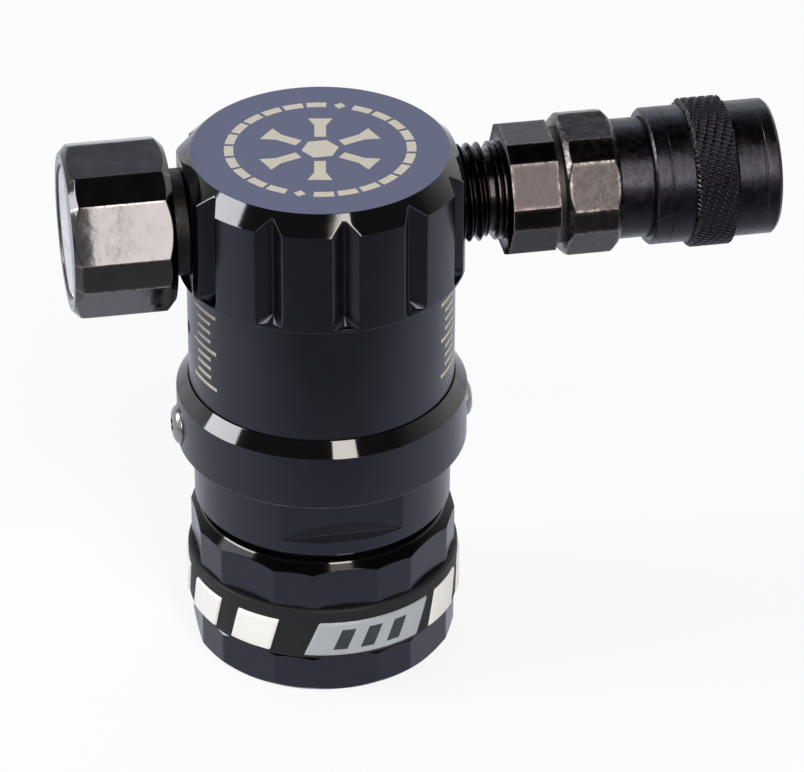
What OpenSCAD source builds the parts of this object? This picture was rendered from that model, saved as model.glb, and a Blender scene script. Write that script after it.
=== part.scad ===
// High-pressure air regulator: a fluted head with a pressure gauge on one side and a
// quick coupler on the other, a spring barrel, a lock collar, a neck with wrench flats
// and an octagonal hand nut with a rubber grip band.
// Millimetres. +Z is up, the origin is on the main axis in the plane the hand nut stands
// on, +X points along the coupler, and the gauge lies along -X.

/* [Head] */
// How far the lands of the fluted head stand out over the barrel
head_step = 1.55; // [1.2:0.05:2.2]
// Height of the head
head_h = 17.8; // [17.2:0.1:20]
// Size of the 45 degree chamfer round the top face
head_chamfer = 2.45; // [1:0.05:3]
// Size of the 45 degree chamfer round the foot of the head
head_foot_chamfer = 0.55; // [0.2:0.05:0.8]
// Number of flute places round the head
flute_count = 12; // [8:2:16]
// Width of a flute at the surface
flute_w = 3.85; // [2.4:0.05:4.4]
// Depth of a flute
flute_depth = 1.65; // [0.8:0.05:2]
// Height of the flutes' lower ends above the foot chamfer
flute_rise = 0.4; // [0.3:0.05:1]
// How far each port face stands out over the barrel
port_face_step = 0.25; // [0.1:0.05:0.6]
// Depth of the coupler port's axis below the top face
port_drop = 8.98; // [8.4:0.01:9.2]
// Depth of the gauge port's axis below the top face
gauge_port_drop = 9.45; // [8.8:0.01:9.6]
// Bore of the gas passage behind each port
port_passage_d = 5; // [3:0.1:6]
// Bore of the outlet chamber inside the head
chamber_d = 20; // [16:0.5:21]
// Height of the spigot under the head that enters the barrel
spigot_h = 4; // [3.6:0.1:4.6]
// Thickness of the roof over the outlet chamber
roof_t = 4.6; // [3:0.1:5]

/* [Barrel] */
// Outside diameter of the barrel
barrel_d = 37.5; // [36.6:0.1:38.4]
// Height of the barrel between the collar and the head
barrel_h = 17.7; // [16:0.1:20]
// Wall of the barrel round the spring chamber
spring_wall_t = 4.55; // [4:0.05:5.2]
// Wall of the barrel round the head's spigot
spigot_wall_t = 2.75; // [2.4:0.05:3.2]
// Wall of the barrel round the neck's spigot
neck_wall_t = 3.15; // [2.8:0.05:3.6]
// Diameter of the two vent holes
vent_d = 1.8; // [1:0.1:2.6]
// Height of the vent holes above the collar
vent_rise = 9; // [5:0.1:11]

/* [Collar and neck] */
// Wall thickness of the lock collar round the barrel
collar_wall_t = 1.73; // [1.5:0.01:2.4]
// Size of the sloping edge along the top of the lock collar
collar_slope = 1.63; // [1:0.01:1.9]
// Height of the lock collar
collar_h = 10.3; // [9.6:0.1:12]
// Thickness of the floor of the lock collar
collar_floor_t = 1; // [0.6:0.1:1.4]
// Height of the lock screws above the foot of the collar
screw_rise = 3.36; // [3.2:0.02:4.2]
// Thread diameter of the lock screws
screw_d = 3; // [2.5:0.5:3.5]
// Outside diameter of the neck
neck_d = 36.6; // [35.8:0.1:37.2]
// Height of the neck below the collar
neck_h = 10.55; // [9.6:0.05:12]
// Distance across the two wrench flats
neck_flats = 32.3; // [31:0.1:34]
// Height of the wrench flats
neck_flats_h = 7.1; // [4:0.1:7.8]
// Height of the neck's spigot inside the barrel
neck_spigot_h = 13.3; // [12.6:0.1:14.4]

/* [Hand nut] */
// Distance across the eight wide faces of the hand nut
nut_flats = 36.9; // [36.4:0.1:37.2]
// Distance across the eight narrow corner faces
nut_corners = 37.6; // [37.4:0.1:38.1]
// Height of the hand nut
nut_h = 21.5; // [21:0.05:24]
// Size of the broken edge round the nut's foot
nut_foot_break = 0.2; // [0.1:0.05:0.5]
// Size of the 45 degree cone round the nut's top
nut_top_cone = 0.85; // [0.5:0.05:1.5]
// Wall radius of the tank thread
tank_thread_r = 9.7; // [9.4:0.05:10.4]
// Depth of the tank thread
tank_thread_h = 8.8; // [7:0.1:9.6]
// Thickness of the nut's inner flange
nut_flange_t = 6.9; // [5:0.1:8]
// Lowest edge of the grip band
band_z = 6.1; // [5.4:0.1:7]
// Height of the grip band
band_h = 8.4; // [7:0.1:9]
// Outside diameter of the grip band
band_d = 38.9; // [38.7:0.1:40]
// Thickness of the grip band
band_t = 2.05; // [1.7:0.05:2.4]
// Height that the raised pads and plaques stand off the band
pad_t = 0.3; // [0.15:0.05:0.6]
// Height of the raised pads and plaques along the band
pad_h = 5.6; // [4:0.1:6.2]
// Width of each raised pad
pad_w = 6.6; // [4:0.1:7.4]
// Width of each raised plaque
plaque_w = 17.2; // [12:0.1:18]

/* [Valve] */
// Wall of the head's spigot round the piston
piston_wall_t = 3.4; // [3:0.1:4]
// Diameter of the piston stem
stem_d = 7; // [6.4:0.1:7.6]
// Stroke of the piston from open to shut
piston_stroke = 1.2; // [0.6:0.1:1.5]
// Number of disc spring washers
washer_count = 8; // [6:2:8]
// Thickness of each disc spring washer
washer_t = 0.95; // [0.7:0.05:1.05]
// Orifice bore of the nozzle
nozzle_bore_d = 1.2; // [0.6:0.1:1.8]
// Diameter of the journal that the hand nut turns on
journal_d = 16.1; // [15:0.1:16.6]
// Diameter of the inlet filter
filter_d = 9; // [7:0.5:9.5]
// Gas bore of the inlet stem
inlet_bore_d = 4.4; // [3:0.1:5]

/* [Gauge] */
// Distance across the six wide faces of the gauge case
gauge_flats = 22.8; // [22.6:0.1:24]
// Distance across the six corner faces of the gauge case
gauge_corners = 23.8; // [23.6:0.1:25]
// Length of the gauge case
gauge_len = 14.1; // [13.8:0.1:15]
// Gap between the gauge case and the head's port face
gauge_gap = 2.4; // [2:0.1:5]
// Turn of the gauge case's faces, front side down
gauge_turn = 5; // [-15:0.5:15]
// Diameter of the plain shoulder between the gauge case and the head
gauge_shoulder_d = 14.8; // [14.4:0.1:17]
// Inside diameter of the gauge case
gauge_bore_d = 20.6; // [20:0.1:20.8]
// Thickness of the lens
lens_t = 1.2; // [0.8:0.1:1.4]
// Tooth module of the movement's gears
gear_module = 0.4; // [0.35:0.01:0.42]
// Teeth on the pinion
pinion_teeth = 8; // [8:1:9]
// Sector gear turns for one turn of the pinion, as a tooth ratio
gear_ratio = 3; // [3:1:3]

/* [Coupler] */
// Thread diameter of the pipe threads on both ports
pipe_thread_d = 13.8; // [13:0.1:14.2]
// Pitch of the pipe threads
pipe_pitch = 1.41; // [1.2:0.01:1.6]
// Distance across the flats of the nipple's hexagon
nipple_flats = 17.3; // [16.4:0.1:18.4]
// Length of the nipple's hexagon
nipple_hex_len = 6.7; // [6:0.1:9]
// Length of bare thread between the head and the hexagon
nipple_reach = 6.4; // [6.2:0.1:9]
// Thickness of the black seal washer between the nipple and the coupler body
body_washer_t = 1; // [0.4:0.1:1.6]
// Distance across the flats of the coupler body's hexagon
coupler_flats = 18.8; // [18.4:0.05:19.8]
// Length of the coupler body's hexagon
coupler_hex_len = 7.7; // [6.6:0.1:9]
// Turn of the coupler body's faces, front side down
coupler_turn = 5; // [-15:0.5:15]
// Diameter of the round barrel of the coupler body
coupler_barrel_d = 16.8; // [16.6:0.1:17.4]
// Gap between the coupler's hexagon and its sleeve
sleeve_gap = 4.7; // [3.6:0.1:7]
// Length of the sleeve
sleeve_len = 18; // [17.6:0.1:20]
// Outside diameter of the smooth part of the sleeve
sleeve_d = 19.2; // [19:0.1:20.2]
// Outside diameter of the knurled band
knurl_d = 20.9; // [20.6:0.1:22]
// Length of the knurled band
knurl_len = 6.2; // [4:0.1:7]
// Length of the smooth end of the sleeve beyond the knurled band
sleeve_end_len = 6.2; // [5:0.1:7]
// Number of teeth round the knurled band
knurl_teeth = 48; // [30:1:60]
// Travel of the sleeve when it is drawn back
sleeve_travel = 3; // [2:0.1:3]
// Bore at the mouth, which takes the plug's shoulder
plug_bore_d = 12.1; // [11.8:0.05:12.4]
// Narrower bore behind it, which takes the plug's nose
nose_bore_d = 10.8; // [10.4:0.05:11]
// Diameter of the locking balls
ball_d = 2.5; // [2.3:0.05:2.6]
// Number of locking balls
ball_count = 6; // [4:1:8]
// Travel of the coupler's poppet
poppet_travel = 2; // [1:0.1:2.4]

/* [Fits] */
// Radial clearance of a running fit
run_gap = 0.05; // [0.03:0.01:0.08]
// Gap between pieces that are screwed or set together
set_gap = 0.1; // [0.05:0.01:0.12]
// Gap between the turning nut and the neck above it
turn_gap = 0.3; // [0.2:0.05:0.5]

/* [Hidden] */
$fn = 96;
eps = 0.01;
big = 100;

// The head's size follows the barrel under it, and the bores leave the walls named above
head_d = barrel_d + 2 * head_step;
port_face_x = barrel_d / 2 + port_face_step;
spring_bore_d = barrel_d - 2 * spring_wall_t;
spigot_d = barrel_d - 2 * (spigot_wall_t + set_gap);
neck_spigot_d = barrel_d - 2 * (neck_wall_t + set_gap);
piston_bore_d = spigot_d - 2 * piston_wall_t;

// Heights along the main axis, from the plane that the nut stands on
neck_z = nut_h + turn_gap;
collar_z = neck_z + neck_h;
collar_top_z = collar_z + collar_h;
head_z = collar_top_z + barrel_h;
top_z = head_z + head_h;
port_z = top_z - port_drop;
gauge_port_z = top_z - gauge_port_drop;
barrel_foot_z = collar_z + collar_floor_t;
spigot_z = head_z - spigot_h;
lip_r = barrel_d / 2 + set_gap;
collar_r = lip_r + collar_wall_t;
spring_seat_z = collar_z + neck_spigot_h;
spring_seat_t = 0.8;
chamber_z = head_z + 1.6;
chamber_top_z = top_z - roof_t;

// Piston and spring stack
piston_top_z = chamber_z - set_gap;
piston_z = spigot_z - set_gap;
piston_r = piston_bore_d / 2 - run_gap;
piston_ring_z = piston_top_z - 2.4;
stem_r = stem_d / 2;
stack_z = spring_seat_z + spring_seat_t;
stack_h = piston_z - stack_z;
washer_pitch = stack_h / washer_count;
washer_gap = 0.03;
washer_cone = washer_pitch - washer_t - washer_gap;
washer_in_r = stem_r + 0.7;
washer_out_r = spring_bore_d / 2 - 0.7;

// Neck and valve chamber
socket_r = 7;
socket_h = 6;
valve_floor_z = neck_z + socket_h + 1.5;
valve_r = 4;
nozzle_flange_h = 2;
nozzle_tip_h = 1.8;
nozzle_top_z = valve_floor_z + nozzle_flange_h + nozzle_tip_h;
seat_z = nozzle_top_z + piston_stroke + 0.02;
seat_r = 2.3;
seat_h = 2;
seat_proud = 0.3;
stem_foot_z = seat_z + seat_proud;
cross_hole_z = seat_z + seat_h + 1.6;
cross_hole_r = 0.8;
guide_z = cross_hole_z + 1.6;
stem_ring_z = guide_z + 3.2;
neck_bevel_r = neck_d / 2 - 0.85;
neck_bevel_h = 1.1;

// Ring seals, as section radius, groove depth and groove width
seal_r = 0.9;
seal_squeeze = 0.08;
seal_w = 2 * seal_r + 0.3;

// Inlet stem and hand nut
stem_face_z = tank_thread_h + 0.2;
flange_under_z = nut_h - nut_flange_t;
flange_r = tank_thread_r - 0.5;
thrust_t = 0.6;
stem_flange_top_z = flange_under_z - thrust_t - 0.1;
spigot_top_z = neck_z + socket_h - 0.2;
spigot_r = socket_r - set_gap;
relief_r = tank_thread_r + 0.7;
filter_h = 3;
clip_h = 0.7;
filter_z = spigot_top_z - 0.2 - clip_h - filter_h;
nut_top_r = nut_flats / 2 - nut_top_cone;
band_r = band_d / 2;
groove_r = band_r - band_t;
band_gap = 0.1;
band_round = 0.6;
pad_low_z = band_z + (band_h - pad_h) / 4;
pad_lean = pad_h * 0.13;
plaque_lean = pad_h * 0.2;
plaque_turn = 10.7;
pad_turn = 52.4;
pad_step = 29.1;

// Gauge, measured outwards from the main axis along -X
gauge_x = port_face_x + gauge_gap;
gauge_back_t = 2.2;
gauge_rim_r = gauge_corners / 2 - 1;
bezel_t = 1.2;
lens_z = gauge_len - bezel_t - set_gap - lens_t;
dial_t = 0.5;
dial_z = lens_z - 1.6;
plate_t = 0.8;
plate_z = gauge_back_t + 3.9;
gear_t = 0.6;
gear_z = plate_z + plate_t + 0.4;
pinion_r = gear_module * pinion_teeth / 2;
sector_r = pinion_r * gear_ratio;
gear_backlash = 0.14;
gear_centres = pinion_r + sector_r + 0.06;
arbor_r = 0.4;
needle_z = dial_z + dial_t + 0.4;
needle_t = 0.3;
needle_rest = 135;
bourdon_r = gauge_bore_d / 2 - 2.9;
bourdon_z = gauge_back_t + 2;
bourdon_w = 2.4;
bourdon_t = 1.1;
bourdon_wall = 0.3;
post_r = 1.1;
post_reach = bourdon_r - bourdon_t / 2 - post_r - 0.75;
stem_boss_r = post_reach - post_r - 0.7;
bourdon_arc = 255;

// Ports and coupler, measured outwards from the main axis along +X
pipe_r = pipe_thread_d / 2;
pipe_ridge = 0.75;
port_r = pipe_r + set_gap;
port_depth = 7.4;
pipe_foot_x = port_face_x - port_depth + 0.4;
nipple_x = port_face_x + nipple_reach;
body_x = nipple_x + nipple_hex_len + body_washer_t;
barrel_x = body_x + coupler_hex_len;
sleeve_x = barrel_x + sleeve_gap;
sleeve_end_x = sleeve_x + sleeve_len;
body_end_x = sleeve_end_x - 0.9;
slim_r = plug_bore_d / 2 + 1.45;
slim_x = sleeve_x + 3.5;
rib_r = slim_r + run_gap;
rib_end_x = sleeve_end_x - 3.5;
rib_len = 3;
coil_wire_r = 0.36;
skirt_r = coupler_barrel_d / 2 + run_gap;
release_r = slim_r + 1.2;
snap_t = 0.8;
snap_x = rib_end_x + 0.1;
snap_r = slim_r + 0.75;
snap_seat_r = slim_r - 0.5;
ball_x = rib_end_x - rib_len / 2;
ball_ring_r = slim_r - ball_d / 2 - 0.02;
mouth_x = ball_x + ball_d / 2 + 0.15;
plug_seal_r = 0.7;
throat_r = 3.6;
throat_x = sleeve_end_x - 11;
throat_len = 1.5;
cage_r = 5.2;
nipple_spigot_r = plug_bore_d / 2 + 0.55;
nipple_spigot_len = 6.1;
nipple_end_x = nipple_x + nipple_hex_len + nipple_spigot_len;
nipple_bore_r = 2.6;
cage_x = nipple_end_x + 0.5;
poppet_head_t = 1.7;
poppet_x = throat_x - 0.6 - poppet_head_t;
poppet_seal_t = 0.5;
poppet_seal_r = throat_r + 0.7;
poppet_skirt_r = 0.55 * cage_r;
poppet_skirt_len = 5;
poppet_coil_r = 0.75 * cage_r;
poppet_tip_x = throat_x + throat_len + 0.9;

// ---------------------------------------------------------------- shared shapes

// A round disc or tube from z0 to z1 on the main axis.
module tube(r_out, r_in, z0, z1) {
    translate([0, 0, z0])
        difference() {
            cylinder(r = r_out, h = z1 - z0);
            if (r_in > 0)
                translate([0, 0, -1]) cylinder(r = r_in, h = z1 - z0 + 2);
        }
}

// A hole to be cut, from z0 to z1 on the main axis.
module hole(r, z0, z1) {
    translate([0, 0, z0]) cylinder(r = r, h = z1 - z0);
}

// A ring seal: a torus with its middle at height z.
module ring_seal(middle_r, section_r, z) {
    translate([0, 0, z])
        rotate_extrude()
            translate([middle_r, 0]) circle(r = section_r, $fn = 32);
}

// Turns the children's +Z towards the coupler, from the port axis.
module coupler_side(x = 0) {
    translate([x, 0, port_z]) rotate([0, 90, 0]) children();
}

// Turns the children's +Z towards the gauge; their +X then points up.
module gauge_side(x = 0) {
    translate([-x, 0, gauge_port_z]) rotate([0, -90, 0]) children();
}

// A solid of revolution from a list of [radius, height] points.
module turned(points) {
    rotate_extrude() polygon(points);
}

// A bar with six wide faces and six narrow corner faces, a wide face towards local X.
module hex_bar(flats, corners, len) {
    intersection() {
        rotate([0, 0, 30]) cylinder(r = flats / 2 / cos(30), h = len, $fn = 6);
        cylinder(r = corners / 2 / cos(30), h = len, $fn = 6);
    }
}

// A bar with chamfered ends: end_r is the radius that each 45 degree chamfer starts from.
module chamfered_hex(flats, corners, len, end_r, far_r) {
    out_r = flats / 2 / cos(30) + 0.2;
    intersection() {
        hex_bar(flats, corners, len);
        turned([[0, 0], [end_r, 0], [out_r, out_r - end_r], [out_r, len - out_r + far_r],
            [far_r, len], [0, len]]);
    }
}

// A length of pipe thread: sharp ridges at the pitch, from z = 0 to len.
module pipe_thread(r, len) {
    ridges = floor(len / pipe_pitch);
    start = len - ridges * pipe_pitch;
    turned(concat([[0, 0], [r - pipe_ridge, 0]],
        [for (i = [0:ridges - 1]) each [
            [r - pipe_ridge, start + i * pipe_pitch],
            [r, start + (i + 0.42) * pipe_pitch],
            [r, start + (i + 0.58) * pipe_pitch]]],
        [[r - pipe_ridge, len], [0, len]]));
}

// The path of a coil spring with closed ends, swept as one tube of six sides.
module coil(mean_r, wire_r, z0, z1, turns) {
    sides = 6;
    steps = 20 * turns;
    rise = z1 - z0 - 2 * wire_r;
    climb = function(t) z0 + wire_r + rise * (t - 0.03 * sin(360 * t));
    points = [for (i = [0:steps], k = [0:sides - 1])
        let (t = i / steps, a = 360 * turns * t, b = 360 * k / sides,
            rr = mean_r + wire_r * cos(b))
        [rr * cos(a), rr * sin(a), climb(t) + wire_r * sin(b)]];
    walls = [for (i = [0:steps - 1], k = [0:sides - 1])
        let (p = i * sides + k, q = i * sides + (k + 1) % sides)
        each [[p, p + sides, q], [q, p + sides, q + sides]]];
    foot = [for (k = [1:sides - 2]) [0, k, k + 1]];
    tip = [for (k = [1:sides - 2]) [steps * sides, steps * sides + k + 1, steps * sides + k]];
    polyhedron(points, concat(walls, foot, tip), convexity = 10);
}

// The outline of a run of gear teeth round the origin, from tooth first to tooth last.
function gear_outline(pitch_r, teeth, first, last, turn) =
    let (tip_r = pitch_r + 0.75 * gear_module, root_r = pitch_r - 1.15 * gear_module,
        half = 90 / teeth - gear_backlash / 4 / pitch_r * 180 / PI,
        tip = half - tan(22) * 0.75 * gear_module / pitch_r * 180 / PI,
        root = half + tan(22) * 1.15 * gear_module / pitch_r * 180 / PI)
    [for (i = [first:last])
        let (a = turn + i * 360 / teeth)
        each [root_r * [cos(a - root), sin(a - root)], tip_r * [cos(a - tip), sin(a - tip)],
            tip_r * [cos(a + tip), sin(a + tip)], root_r * [cos(a + root), sin(a + root)]]];

// ---------------------------------------------------------------- head

// One flute: a V groove that is open through the top, with a short rounded lower end.
module flute(angle) {
    bottom = 0.12;
    out = 1;
    slope = (flute_w / 2 - bottom) / flute_depth;
    wide = bottom + slope * (flute_depth + out);
    end_z = head_z + head_foot_chamfer + flute_rise;
    foot_z = end_z + 0.3 * flute_w;
    r0 = head_d / 2 - flute_depth;
    rotate([0, 0, angle])
        intersection() {
            union() {
                translate([0, 0, foot_z])
                    linear_extrude(height = head_h)
                        polygon([[r0, -bottom], [r0 + flute_depth + out, -wide],
                            [r0 + flute_depth + out, wide], [r0, bottom]]);
                translate([r0, 0, foot_z])
                    rotate([0, 90, 0])
                        cylinder(r1 = bottom, r2 = wide, h = flute_depth + out, $fn = 48);
            }
            translate([0, -head_d, end_z]) cube([head_d, 2 * head_d, 2 * head_h]);
        }
}

module head_blank() {
    r = head_d / 2;
    turned([[0, spigot_z], [spigot_d / 2 - 0.3, spigot_z], [spigot_d / 2, spigot_z + 0.3],
        [spigot_d / 2, head_z], [r - head_foot_chamfer, head_z], [r, head_z + head_foot_chamfer],
        [r, top_z - head_chamfer], [r - head_chamfer, top_z], [0, top_z]]);
}

// The threaded bore of a port and the gas passage behind it.
module port_bore() {
    translate([0, 0, port_face_x - port_depth]) cylinder(r = port_r, h = port_depth + 5);
    cylinder(r = port_passage_d / 2, h = port_face_x);
}

module head() {
    half_flat = acos(port_face_x / (head_d / 2));
    half_flute = asin(flute_w / head_d);
    color("#1c1c22")
    difference() {
        head_blank();
        for (s = [-1, 1])
            translate([s * (port_face_x + head_d / 2), 0, head_z + head_h / 2])
                cube([head_d, head_d, 2 * head_h], center = true);
        for (i = [0:flute_count - 1]) {
            a = -90 + i * 360 / flute_count;
            if (abs(sin(a)) > sin(half_flat + half_flute))
                flute(a);
        }
        hole(piston_bore_d / 2, spigot_z - 1, chamber_z);
        hole(chamber_d / 2, chamber_z - eps, chamber_top_z);
        tube(spigot_d / 2 + 1, spigot_d / 2 - 2 * seal_r, head_seal_z() - seal_w / 2,
            head_seal_z() + seal_w / 2);
        coupler_side() port_bore();
        gauge_side() port_bore();
    }
}

// The seal between head and barrel lies half way up the spigot.
function head_seal_z() = head_z - spigot_h / 2;

module head_seal() {
    color("#202020")
        ring_seal(spigot_d / 2 - seal_r + seal_squeeze, seal_r, head_seal_z());
}

// ---------------------------------------------------------------- barrel, collar and neck

module barrel() {
    color("#1a1a20")
    difference() {
        tube(barrel_d / 2, 0, barrel_foot_z, head_z);
        hole(neck_spigot_d / 2 + set_gap, barrel_foot_z - 1, spring_seat_z + set_gap);
        hole(spring_bore_d / 2, spring_seat_z, spigot_z);
        hole(spigot_d / 2 + set_gap, spigot_z - set_gap, head_z + 1);
        for (s = [-1, 1]) {
            translate([0, 0, collar_top_z + vent_rise]) rotate([0, s * 90, 0])
                cylinder(r = vent_d / 2, h = barrel_d);
            translate([0, 0, collar_z + screw_rise]) rotate([0, s * 90, 0])
                cylinder(r = screw_d / 2, h = barrel_d);
        }
    }
}

module lock_collar() {
    r = collar_r;
    spot_x = screw_spot_x();
    color("#1a1a20")
    difference() {
        turned([[neck_spigot_d / 2 + set_gap, collar_z], [r - 0.3, collar_z],
            [r, collar_z + 0.3], [r, collar_top_z - 1.2 * collar_slope],
            [r - collar_slope, collar_top_z],
            [lip_r, collar_top_z], [lip_r, barrel_foot_z],
            [neck_spigot_d / 2 + set_gap, barrel_foot_z]]);
        for (s = [-1, 1])
            translate([0, 0, collar_z + screw_rise]) rotate([0, s * 90, 0]) {
                cylinder(r = screw_d / 2 + set_gap, h = 2 * collar_r);
                translate([0, 0, spot_x]) cylinder(r = 0.95 * screw_d + 0.15, h = screw_d);
            }
    }
}

// The flat spot under each screw head, from the main axis.
function screw_spot_x() = sqrt(pow(collar_r, 2) - pow(0.95 * screw_d + 0.1, 2)) - 0.05;

// Two button-head socket screws that hold the collar to the barrel.
module lock_screws() {
    head_r = 0.95 * screw_d;
    head_t = 0.4 * screw_d;
    spot_x = screw_spot_x();
    shank_x = neck_spigot_d / 2 + 0.4;
    color("#b8b8b4")
    for (s = [-1, 1])
        translate([0, 0, collar_z + screw_rise]) rotate([0, s * 90, 0])
            difference() {
                turned([[0, shank_x], [screw_d / 2 - 0.05, shank_x],
                    [screw_d / 2 - 0.05, spot_x], [head_r, spot_x],
                    [head_r, spot_x + 0.2 * head_t],
                    [0.88 * head_r, spot_x + 0.62 * head_t],
                    [0.64 * head_r, spot_x + 0.9 * head_t],
                    [0.4 * head_r, spot_x + head_t], [0, spot_x + head_t]]);
                translate([0, 0, spot_x + 0.35 * head_t])
                    cylinder(r = screw_d / 3 / cos(30), h = head_t, $fn = 6);
            }
}

module neck() {
    r = neck_d / 2;
    color("#1a1a20")
    difference() {
        turned([[0, neck_z], [neck_bevel_r, neck_z], [r, neck_z + neck_bevel_h],
            [r, collar_z], [neck_spigot_d / 2, collar_z],
            [neck_spigot_d / 2, spring_seat_z], [0, spring_seat_z]]);
        for (s = [-1, 1])
            translate([0, s * (neck_flats / 2 + r), collar_z - neck_flats_h / 2 + eps / 2])
                cube([neck_d, 2 * r, neck_flats_h + eps], center = true);
        hole(socket_r, neck_z - 1, neck_z + socket_h);
        hole(inlet_bore_d / 2, neck_z + socket_h - 1, valve_floor_z + 1);
        hole(valve_r, valve_floor_z, guide_z);
        hole(stem_r + run_gap, guide_z - 1, spring_seat_z + 1);
        hole(stem_r + 2 * seal_r + 0.06, stem_ring_z - seal_w / 2, stem_ring_z + seal_w / 2);
        tube(neck_spigot_d / 2 + 1, neck_spigot_d / 2 - 2 * seal_r,
            barrel_seal_z() - seal_w / 2, barrel_seal_z() + seal_w / 2);
    }
}

// The seal between neck and barrel lies above the lock screws.
function barrel_seal_z() = collar_top_z - 1.6;

module barrel_seal() {
    color("#202020")
        ring_seal(neck_spigot_d / 2 - seal_r + seal_squeeze, seal_r, barrel_seal_z());
}

// ---------------------------------------------------------------- valve and spring

// Sintered seat face: a turned jet with a raised lip that the piston closes on.
module nozzle() {
    color("#c8a860")
    difference() {
        turned([[0, valve_floor_z], [valve_r - set_gap, valve_floor_z],
            [valve_r - set_gap, valve_floor_z + nozzle_flange_h],
            [2.2, valve_floor_z + nozzle_flange_h], [1.4, nozzle_top_z], [0, nozzle_top_z]]);
        hole(nozzle_bore_d / 2, valve_floor_z - 1, nozzle_top_z + 1);
        hole(1.6, valve_floor_z - 1, valve_floor_z + nozzle_flange_h - 0.4);
    }
}

module valve_seat() {
    color("#d8d2c0")
        tube(seat_r, 0, seat_z, seat_z + seat_h);
}

module piston() {
    color("#c0c2c6")
    difference() {
        turned([[0, stem_foot_z], [stem_r - 0.3, stem_foot_z], [stem_r, stem_foot_z + 0.3],
            [stem_r, piston_z], [piston_r, piston_z], [piston_r, piston_top_z],
            [0, piston_top_z]]);
        hole(seat_r + 0.05, stem_foot_z - 1, seat_z + seat_h + 0.05);
        hole(1.3, cross_hole_z - 0.6, piston_top_z + 1);
        translate([0, 0, piston_top_z - 1.4]) cylinder(r1 = 6, r2 = 8, h = 2);
        translate([0, 0, cross_hole_z]) rotate([0, 90, 0])
            cylinder(r = cross_hole_r, h = 3 * stem_d, center = true);
        tube(piston_r + 1, piston_r - 2 * seal_r, piston_ring_z - seal_w / 2,
            piston_ring_z + seal_w / 2);
    }
}

module piston_seal() {
    color("#202020")
        ring_seal(piston_r - seal_r + 0.02, seal_r, piston_ring_z);
}

module stem_seal() {
    color("#202020")
        ring_seal(stem_r + seal_r + 0.03, seal_r, stem_ring_z);
}

// Disc spring washers, stacked cup to cup.
module spring_washers() {
    color("#8a8f98")
    for (i = [0:washer_count - 1]) {
        z = stack_z + washer_gap / 2 + i * washer_pitch;
        low_in = i % 2 == 0 ? 0 : washer_cone;
        low_out = washer_cone - low_in;
        turned([[washer_in_r, z + low_in], [washer_out_r, z + low_out],
            [washer_out_r, z + low_out + washer_t], [washer_in_r, z + low_in + washer_t]]);
    }
}

module spring_seat() {
    color("#b0b2b6")
        tube(spring_bore_d / 2 - set_gap, stem_r + 0.4, spring_seat_z,
            spring_seat_z + spring_seat_t);
}

// ---------------------------------------------------------------- inlet and hand nut

module inlet_stem() {
    journal_r = journal_d / 2 - run_gap;
    bore_r = inlet_bore_d / 2;
    color("#9a9ca0")
    difference() {
        turned([[0, stem_face_z], [flange_r - 0.4, stem_face_z], [flange_r, stem_face_z + 0.4],
            [flange_r, stem_flange_top_z], [journal_r, stem_flange_top_z],
            [journal_r, neck_z], [spigot_r, neck_z], [spigot_r, spigot_top_z],
            [0, spigot_top_z]]);
        hole(bore_r, stem_face_z - 1, spigot_top_z + 1);
        hole(filter_d / 2 + 0.05, filter_z, spigot_top_z + 1);
        tube(inlet_seal_r() + seal_r - 0.05, inlet_seal_r() - seal_r + 0.05,
            stem_face_z - 1, stem_face_z + 2 * seal_r - 0.25);
        tube(spigot_r + 1, spigot_r - 0.9, neck_z + 1, neck_z + 1 + 1.3);
    }
}

// Middle radius of the face seal under the stem.
function inlet_seal_r() = flange_r - 2.4;

module inlet_seal() {
    color("#202020")
        ring_seal(inlet_seal_r(), seal_r - 0.1, stem_face_z + seal_r - 0.22);
}

module neck_seal() {
    color("#202020")
        ring_seal(spigot_r - 0.42, 0.45, neck_z + 1.65);
}

module thrust_washer() {
    color("#e8e4d8")
        tube(flange_r - 0.05, journal_d / 2 + 0.1, stem_flange_top_z + 0.05,
            stem_flange_top_z + 0.05 + thrust_t);
}

module inlet_filter() {
    color("#b89468")
        tube(filter_d / 2, 0, filter_z, filter_z + filter_h);
}

module filter_clip() {
    color("#a0a0a4")
        tube(filter_d / 2, filter_d / 2 - 1.6, filter_z + filter_h, filter_z + filter_h + clip_h);
}

module hand_nut() {
    low_cone_z = band_z - band_gap;
    top_cone_z = nut_h - (nut_flats / 2 - nut_top_r);
    wide = nut_flats / 2 / cos(22.5) + 0.2;
    above_z = band_z + band_h + band_gap;
    color("#1a1a20")
    difference() {
        intersection() {
            rotate([0, 0, 22.5])
                cylinder(r = nut_flats / 2 / cos(22.5), h = nut_h, $fn = 8);
            cylinder(r = nut_corners / 2 / cos(22.5), h = nut_h, $fn = 8);
            union() {
                turned([[0, 0], [nut_flats / 2 - nut_foot_break, 0],
                    [wide, wide - nut_flats / 2 + nut_foot_break],
                    [wide, low_cone_z - (wide - nut_flats / 2)],
                    [nut_flats / 2, low_cone_z], [0, low_cone_z]]);
                turned([[0, low_cone_z - 1], [groove_r, low_cone_z - 1],
                    [groove_r, above_z + 1], [0, above_z + 1]]);
                turned([[0, above_z], [wide, above_z],
                    [wide, nut_h - (wide - nut_top_r)], [nut_top_r, nut_h], [0, nut_h]]);
            }
        }
        hole(tank_thread_r, -1, tank_thread_h + eps);
        hole(relief_r, tank_thread_h, flange_under_z);
        hole(journal_d / 2, flange_under_z - 1, nut_h + 1);
    }
}

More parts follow.
